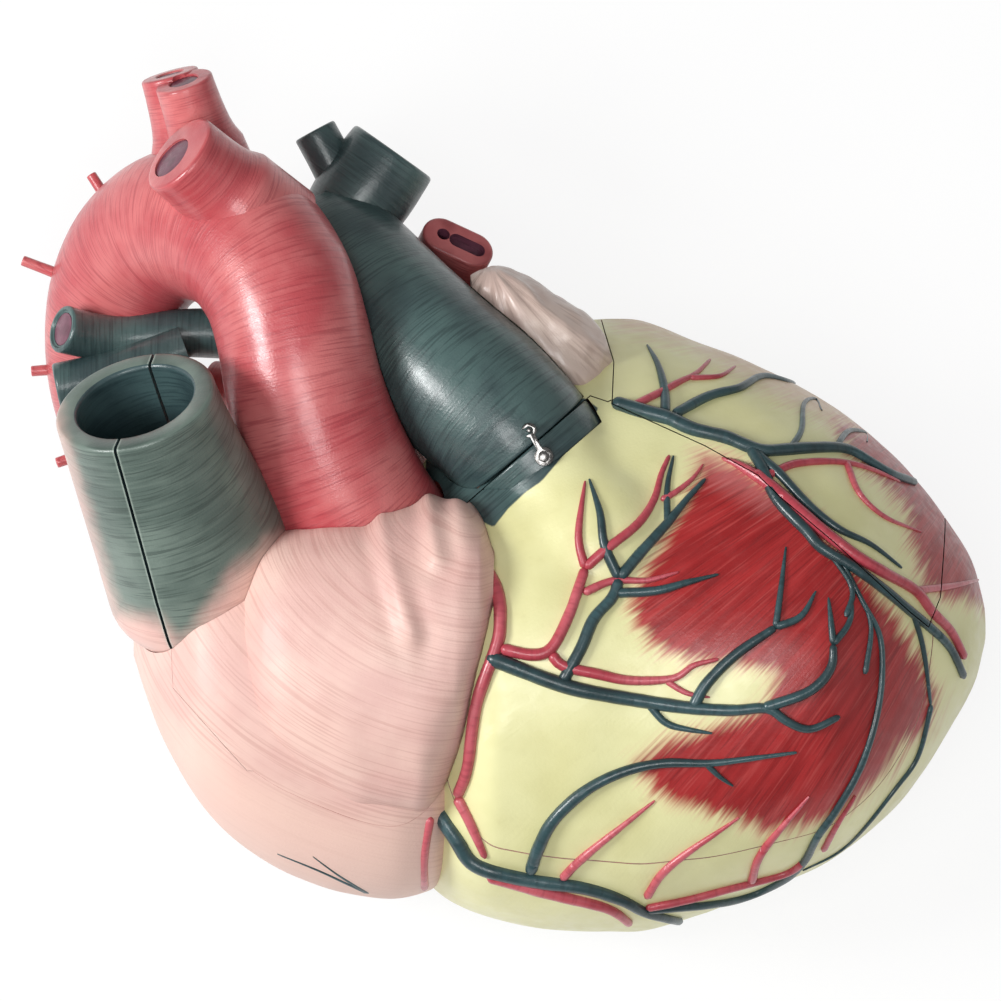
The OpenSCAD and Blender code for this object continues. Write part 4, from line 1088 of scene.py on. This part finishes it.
for spot in right_vein_places:
    heading = Vector(right_vein_axis).normalized()
    path = line(Vector(spot) - heading * 8, Vector(spot) + heading * RIGHT_VEIN_LEN, 10, RIGHT_VEIN_OD / 2)
    mesh = bpy.data.meshes.new("stub")
    pipe(path, (RIGHT_VEIN_OD - RIGHT_VEIN_BORE) / 2, spokes=48).to_mesh(mesh)
    stubs.from_mesh(mesh)
finished("right_lung_veins_stubs", stubs, "rear", ["right_lung_veins"],
         [stub_outside, purple_paint],
         along_marks(line(Vector(right_vein_places[0]),
                          Vector(right_vein_places[0]) + 30 * Vector(right_vein_axis))))

# %% [markdown]
# ## The painted coronary vessels
# The vessels are raised beads that cross the ventricles and taper to fine tips. Drawing them with
# hulls, as the CAD does, gives flat bands. Here each route is a smooth line that is dropped onto
# the heart's skin and followed by a round bevelled curve, sunk by a part of its width. The same
# zones that cut the walls then share the beads out, so a vessel parts exactly at a seam.

# %% Routes on the face: width at the start, width at the tip, points
vein_routes = [
    (5.8, 2.4, [(-6, -74), (23, -85), (40, -90), (69, -95), (91, -98), (110, -99), (126, -98), (135, -104),
                (146, -108), (160, -102)]),
    (4.6, 4.2, [(29, -86), (38, -70), (44, -56), (53, -46), (56, -37)]),
    (4.0, 1.0, [(56, -37), (49, -21), (47, -6), (42, 10)]),
    (4.2, 1.4, [(56, -37), (65, -26), (79, -11), (88, 0), (97, 10)]),
    (2.6, 0.9, [(79, -11), (79, 6), (82, 21)]),
    (3.8, 1.0, [(54, -44), (73, -43), (88, -39), (103, -35)]),
    (4.4, 3.0, [(91, -98), (97, -87), (111, -73), (130, -60)]),
    (3.0, 0.9, [(130, -60), (142, -55), (149, -43)]),
    (2.6, 0.8, [(130, -60), (132, -46), (135, -22)]),
    (4.2, 2.8, [(124, -98), (146, -90), (156, -79), (157, -68)]),
    (2.6, 0.8, [(157, -68), (155, -46)]),
    (2.6, 0.8, [(157, -68), (165, -57), (166, -42)]),
    (3.0, 0.9, [(69, -95), (78, -105), (88, -108), (100, -110)]),
    (4.8, 1.2, [(14, -176), (18, -164), (25, -151), (40, -137), (58, -128), (77, -124), (99, -124),
                (117, -122),
                (140, -119)]),
    (2.4, 0.8, [(97, -124), (103, -130), (110, -135)]),
    (6.0, 3.4, [(-30, -145), (-20, -160), (-11, -172), (14, -179), (40, -183), (58, -189), (69, -195),
                (86, -200)]),
    (1.6, 3.4, [(159, -24), (171, -48), (179, -64), (180, -84), (177, -104), (170, -126), (159, -146),
                (150, -159),
                (144, -171), (133, -181), (110, -190), (69, -194)]),
    (1.2, 2.2, [(152, -21), (166, -41), (163, -55)]),
    (1.2, 2.2, [(172, -49), (175, -61), (172, -82)]),
    (2.2, 1.2, [(195, -53), (200, -70), (204, -97)]),
    (2.2, 0.9, [(204, -97), (198, -121), (187, -137), (165, -164), (144, -176)]),
    (5.6, 3.0, [(53, 46), (69, 41), (80, 38), (91, 33), (107, 29), (122, 23), (132, 23), (145, 24),
                (163, 24),
                (175, 18), (186, 12), (198, 8)]),
    (3.6, 0.9, [(78, 40), (78, 51), (75, 64), (70, 74)]),
    (4.0, 1.4, [(82, 40), (99, 49), (114, 53), (125, 59), (141, 56)]),
    (2.4, 0.8, [(137, 24), (143, 33), (145, 47), (157, 49)]),
    (2.4, 0.8, [(160, 26), (166, 33), (178, 32)]),
    (4.0, 1.2, [(119, 25), (124, 19), (132, 12), (146, -3), (160, -14), (175, -21), (190, -32)]),
    (4.4, 3.0, [(118, 25), (124, 15), (131, 0), (145, -15), (152, -23), (167, -32), (182, -43), (193, -52),
                (204, -61),
                (213, -70), (220, -84)])]
artery_routes = [
    (5.0, 4.2, [(-10, -26), (-1, -44), (0, -60), (-2, -70), (-11, -97), (-15, -126), (-20, -140)]),
    (4.2, 2.4, [(-20, -140), (-14, -152), (-7, -169)]),
    (4.6, 3.6, [(0, -70), (15, -73), (24, -70), (32, -55), (37, -41), (40, -32)]),
    (3.4, 0.9, [(40, -32), (37, -17), (40, 9)]),
    (3.8, 1.6, [(40, -32), (50, -23), (65, -11), (73, 1), (76, 12), (80, 21)]),
    (2.4, 0.8, [(76, 0), (82, 3), (91, 10), (96, 17)]),
    (3.2, 0.9, [(39, -44), (53, -38), (69, -38), (84, -34)]),
    (4.2, 1.4, [(24, -72), (29, -78), (46, -82), (61, -85), (82, -84), (91, -78), (103, -75)]),
    (2.4, 0.8, [(78, -85), (88, -91), (99, -93)]),
    (0.9, 3.4, [(73, -142), (40, -168), (29, -179)]),
    (0.9, 3.4, [(113, -150), (80, -173), (69, -188)]),
    (0.9, 3.4, [(146, -140), (124, -166), (119, -181)]),
    (1.2, 2.6, [(168, -140), (159, -154), (153, -166)]),
    (5.0, 3.4, [(-6, -177), (25, -186), (51, -193), (62, -201)]),
    (3.4, 3.0, [(69, -193), (89, -189), (108, -184), (135, -177), (144, -171)]),
    (1.0, 4.6, [(105, 20), (113, 16.5), (126, 8)]),
    (4.8, 3.4, [(120, 13), (132, 3), (149, -12), (167, -26), (182, -35), (196, -43),
                (204, -53), (213, -62), (220, -75)]),
    (3.2, 1.0, [(124, 11), (130, 13), (140, 17), (160, 18), (175, 15), (190, 9)]),
    (2.6, 0.8, [(164, 18), (170, 3), (182, -8), (200, -15)]),
    (3.0, 1.0, [(196, -43), (213, -41), (228, -38)]),
    (3.2, 1.2, [(60, 43), (62, 44), (76, 51), (85, 56), (93, 60), (100, 67)]),
    (2.4, 0.9, [(90, 58), (94, 58), (105, 59), (112, 64)])]
atrium_vein_routes = [(0.7, 1.8, [(-106, -168), (-86, -176), (-63, -187)]),
                      (0.7, 1.5, [(-89, -169), (-77, -178), (-63, -187)])]
atrium_artery_routes = [(3.6, 3.2, [(-33, -150), (-36, -169), (-36, -186)])]

# %% Beads along the routes
SINK = 0.28  # share of a bead's width that lies under the skin
BOLDNESS = 1.3
heart_surface = BVHTree.FromBMesh(outer_heart)


def dropped(route, surface, width, tip, step=1.4):
    """A route laid onto a surface: its points, with the bead's radius."""
    flat = smooth_path([(x, y, 0, 0) for x, y in route], step)
    spots, normals = [], []
    for x, y in flat[:, :2]:
        spot, normal = surface.ray_cast(Vector((x, y, FAR)), Vector((0, 0, -1)))[:2]
        if spot is None:
            spot, normal = surface.find_nearest(Vector((x, y, -20)))[:2]
        spots.append(spot)
        normals.append(normal)
    spots, normals = np.array(spots), np.array(normals)
    for _ in range(4):
        spots[1:-1] = (spots[:-2] + 2 * spots[1:-1] + spots[2:]) / 4
        normals[1:-1] = (normals[:-2] + 2 * normals[1:-1] + normals[2:]) / 4
    share = np.linspace(0, 1, len(spots))  # a bead stays wide and tapers late, towards its thin end
    share = share ** 2 if width > tip else 1 - (1 - share) ** 2
    radius = BOLDNESS * (width + (tip - width) * share) / 2
    wobble = 1 + 0.07 * np.array([noise.noise(Vector(p) / 9) for p in spots])
    centres = spots + normals * (radius * (1 - 2 * SINK) * 0.9)[:, None]
    to_end = step * np.minimum(np.arange(len(spots)), np.arange(len(spots))[::-1])
    rounded = np.sqrt(1 - (1 - np.clip((to_end + 0.2) / radius, 0, 1)) ** 2)
    return np.column_stack([centres, radius * wobble * rounded])


def beads(routes, surface):
    curve = bpy.data.curves.new("beads", "CURVE")
    curve.dimensions, curve.bevel_depth, curve.bevel_resolution, curve.use_fill_caps = "3D", 1, 3, True
    lines = []
    for width, tip, route in routes:
        points = dropped(route, surface, width, tip)
        spline = curve.splines.new("POLY")
        spline.points.add(len(points) - 1)
        for at, (x, y, z, radius) in zip(spline.points, points):
            at.co, at.radius = (x, y, z, 1), radius
        lines.append(points)
    holder = bpy.data.objects.new("beads", curve)
    scene.collection.objects.link(holder)
    bm = bmesh.new()
    bpy.context.view_layer.update()
    bm.from_mesh(holder.evaluated_get(bpy.context.evaluated_depsgraph_get()).to_mesh())
    bpy.data.objects.remove(holder)
    bmesh.ops.remove_doubles(bm, verts=bm.verts, dist=0.001)
    bmesh.ops.recalc_face_normals(bm, faces=bm.faces)
    return bm, np.vstack(lines)


atrium_surface = BVHTree.FromBMesh(skin(right_atrium))
for colour_name, routes, more_routes, paint in (
        ("veins", vein_routes, atrium_vein_routes, coronary_blue),
        ("arteries", artery_routes, atrium_artery_routes, coronary_red)):
    bead, centre_line = beads(routes, heart_surface)
    more, more_line = beads(more_routes, atrium_surface)
    more_mesh = bpy.data.meshes.new("atrium_beads")
    more.to_mesh(more_mesh)
    bead.from_mesh(more_mesh)
    marks = along_marks(np.vstack([centre_line, more_line]))
    slot = "coronary_blue" if colour_name == "veins" else "coronary_red"
    for name, part, body in (("front_", carved(bead, ("INTERSECT", front), ("DIFFERENCE", left_room)),
                              "front_wall"),
                             ("left_wall_", carved(bead, ("INTERSECT", left)), "left_wall"),
                             ("rear_", minus(bead, front_room, left_room, under_table()), "rear")):
        finished(name + colour_name + "_beads", part, body, [name + colour_name], [paint] * 3, marks,
                 60)

# %% [markdown]
# ## Small fittings
# Pegs, sockets, discs, valves, the collar of the conus and the little hook come true from the CAD,
# but their edges are knife sharp. A copy of each is merged into a closed mesh, its flat faces are
# joined, and its edges get a small bevel that catches the light.

# %% Softened copies of CAD nodes
def softened(node, body, paint, width_mm, segments=2, crease=32):
    bm = bmesh.new()
    bm.from_mesh(frame["nodes"][node].data)
    bmesh.ops.remove_doubles(bm, verts=bm.verts, dist=1e-6)
    bmesh.ops.dissolve_limit(bm, angle_limit=radians(1), verts=bm.verts, edges=bm.edges)
    sharp = [e for e in bm.edges if e.is_manifold and e.calc_face_angle() > radians(crease)]
    bmesh.ops.bevel(bm, geom=sharp, offset=width_mm * MM, offset_type="OFFSET", segments=segments,
                    profile=0.5,
                    affect="EDGES", clamp_overlap=True, material=-1)
    return finished(node + "_soft", bm, body, [node], [paint], crease=crease,
                    turned=Matrix.Identity(4))


for node, body, slot, paint, width in (
        ("arch_end_plugs", "rear", "purple_paint", purple_paint, 0.4),
        ("lung_artery_plugs", "rear", "purple_paint", purple_paint, 0.5),
        ("tricuspid_valve", "rear", "valve_paint", valve_paint, 0.3),
        ("mitral_valve", "rear", "valve_paint", valve_paint, 0.3),
        ("pulmonary_valve", "rear", "valve_paint", valve_paint, 0.3),
        ("aortic_valve", "rear", "valve_paint", valve_paint, 0.3),
        ("locating_pegs", "rear", "peg_plastic", peg_plastic, 0.6),
        ("front_sockets", "front_wall", "peg_plastic", peg_plastic, 0.5),
        ("left_sockets", "left_wall", "peg_plastic", peg_plastic, 0.5),
        ("catch_pin", "rear", "bright_metal", bright_metal, 0.5),
        ("latch_base", "front_wall", "bright_metal", bright_metal, 0.3),
        ("latch_screw", "front_wall", "bright_metal", bright_metal, 0.35),
        ("latch_hook", "hook", "bright_metal", bright_metal, 0.3)):
    softened(node, body, paint, width)

# %% The collar of the conus
collar_path = np.array([(*(conus_place - conus_axis.normalized() * s), CONUS_OD / 2)
                        for s in np.linspace(CONUS_RING_H, 0, 9)])
SCREW_R = 1.2
screw_hole = drum((20.5, 20.8, 20), (0, 0, 1), 0, 60, SCREW_R, 24, INSIDE)
finished("conus_collar", minus(pipe(collar_path, (CONUS_OD - CONUS_BORE) / 2, soft=1.0), screw_hole),
         "front_wall",
         ["conus_ring"], [vein_outside, vein_bore], along_marks(collar_path))

# %% [markdown]
# ## Inside the chambers
# When the walls are off, the partition, the muscles and their cords show. Their CAD solids are
# faceted, so a copy is merged, rebuilt with small even faces, and smoothed like worked clay. The
# cords stay thin rods with a soft sheen.

# %% Worked-clay copies
def worked(node, body, paint, grain_mm, passes):
    bm = bmesh.new()
    bm.from_mesh(frame["nodes"][node].data)
    bmesh.ops.remove_doubles(bm, verts=bm.verts, dist=1e-6)
    clay = evened(bm, grain_mm * MM, passes)
    return finished(node + "_clay", clay, body, [node], [paint], crease=70, turned=Matrix.Identity(4))


worked("septum", "rear", muscle_paint, 2.2, 6)
worked("papillary_muscles", "rear", muscle_paint, 1.5, 5)
softened("valve_cords", "rear", valve_paint, 0.2)

# %% [markdown]
# ## Table and light
# A pale table and an even white room keep the colours as they are written. One large lamp from the
# left gives the soft highlights on the vessels, one above lights the rest, and a weak one fills from
# the right. The table shows the camera mostly plain white, and a share of its own shading, so that
# the shadow under the model stays.

# %% Table and lamps
def lamp(name, spot, target, size, watts):
    light = bpy.data.objects.new(name, bpy.data.lights.new(name, "AREA"))
    light.data.shape, light.data.size, light.data.energy = "DISK", size, watts
    light.location = spot
    light.rotation_euler = (Vector(target) - Vector(spot)).to_track_quat("-Z", "Y").to_euler()
    scene.collection.objects.link(light)


for name, spot, size, watts in (("key", (-1.6, -0.1, 1.35), 0.7, 33), ("top", (-0.2, -0.6, 2.3), 1.0, 19),
                                ("fill", (1.6, -0.5, 1.2), 1.2, 1.5)):
    lamp(name, spot, (0, 0, 0.1), size, watts)
ROOM_LIGHT = 0.26

world = scene.world or bpy.data.worlds.new("room")
scene.world = world
world.use_nodes = True
tree = world.node_tree
tree.nodes.clear()
rays = tree.nodes.new("ShaderNodeLightPath")
seen, lit, pick = (tree.nodes.new("ShaderNode" + kind) for kind in ("Background", "Background",
                                                                    "MixShader"))
seen.inputs["Color"].default_value = (1, 1, 1, 1)
lit.inputs["Color"].default_value, lit.inputs["Strength"].default_value = (1, 1, 1, 1), ROOM_LIGHT
tree.links.new(rays.outputs["Is Camera Ray"], pick.inputs[0])
tree.links.new(lit.outputs[0], pick.inputs[1])
tree.links.new(seen.outputs[0], pick.inputs[2])
tree.links.new(pick.outputs[0], tree.nodes.new("ShaderNodeOutputWorld").inputs[0])

WHITE_SHARE = 0.88  # what is left of the floor's own shading keeps the shadow
floor_bm = bmesh.new()
bmesh.ops.create_grid(floor_bm, x_segments=4, y_segments=4, size=3)
floor_mesh = bpy.data.meshes.new("table_top")
floor_bm.to_mesh(floor_mesh)
table_top = bpy.data.objects.new("table_top", floor_mesh)
scene.collection.objects.link(table_top)
floor_paint = Paint("table_white", 0.6)
speck = floor_paint.mix(floor_paint.ramp(floor_paint.clouds(60), 0.3, 0.7), colour("FDFDFD"),
                        colour("FFFFFF"))
table_top.data.materials.append(floor_paint.colours(speck))
tree = floor_paint.tree
rays, glow, blend = (tree.nodes.new("ShaderNode" + kind) for kind in ("LightPath", "Emission", "MixShader"))
far_off = floor_paint.add("VectorMath", {0: floor_paint.where}, 1, operation="LENGTH")
mirrored = floor_paint.math("MAXIMUM", rays.outputs["Is Glossy Ray"], rays.outputs["Is Transmission Ray"])
mirrored = floor_paint.math("MULTIPLY", mirrored, floor_paint.ramp(far_off, 0.5, 2.4, 0.6, 0))
share = floor_paint.math("MAXIMUM", floor_paint.math("MULTIPLY", rays.outputs["Is Camera Ray"],
                                                     WHITE_SHARE), mirrored)
for socket, into in ((share, 0), (floor_paint.shader.outputs[0], 1), (glow.outputs[0], 2)):
    tree.links.new(socket, blend.inputs[into])
tree.links.new(blend.outputs[0], tree.nodes["Material Output"].inputs["Surface"])

# %% Colour view
scene.view_settings.view_transform = "Standard"
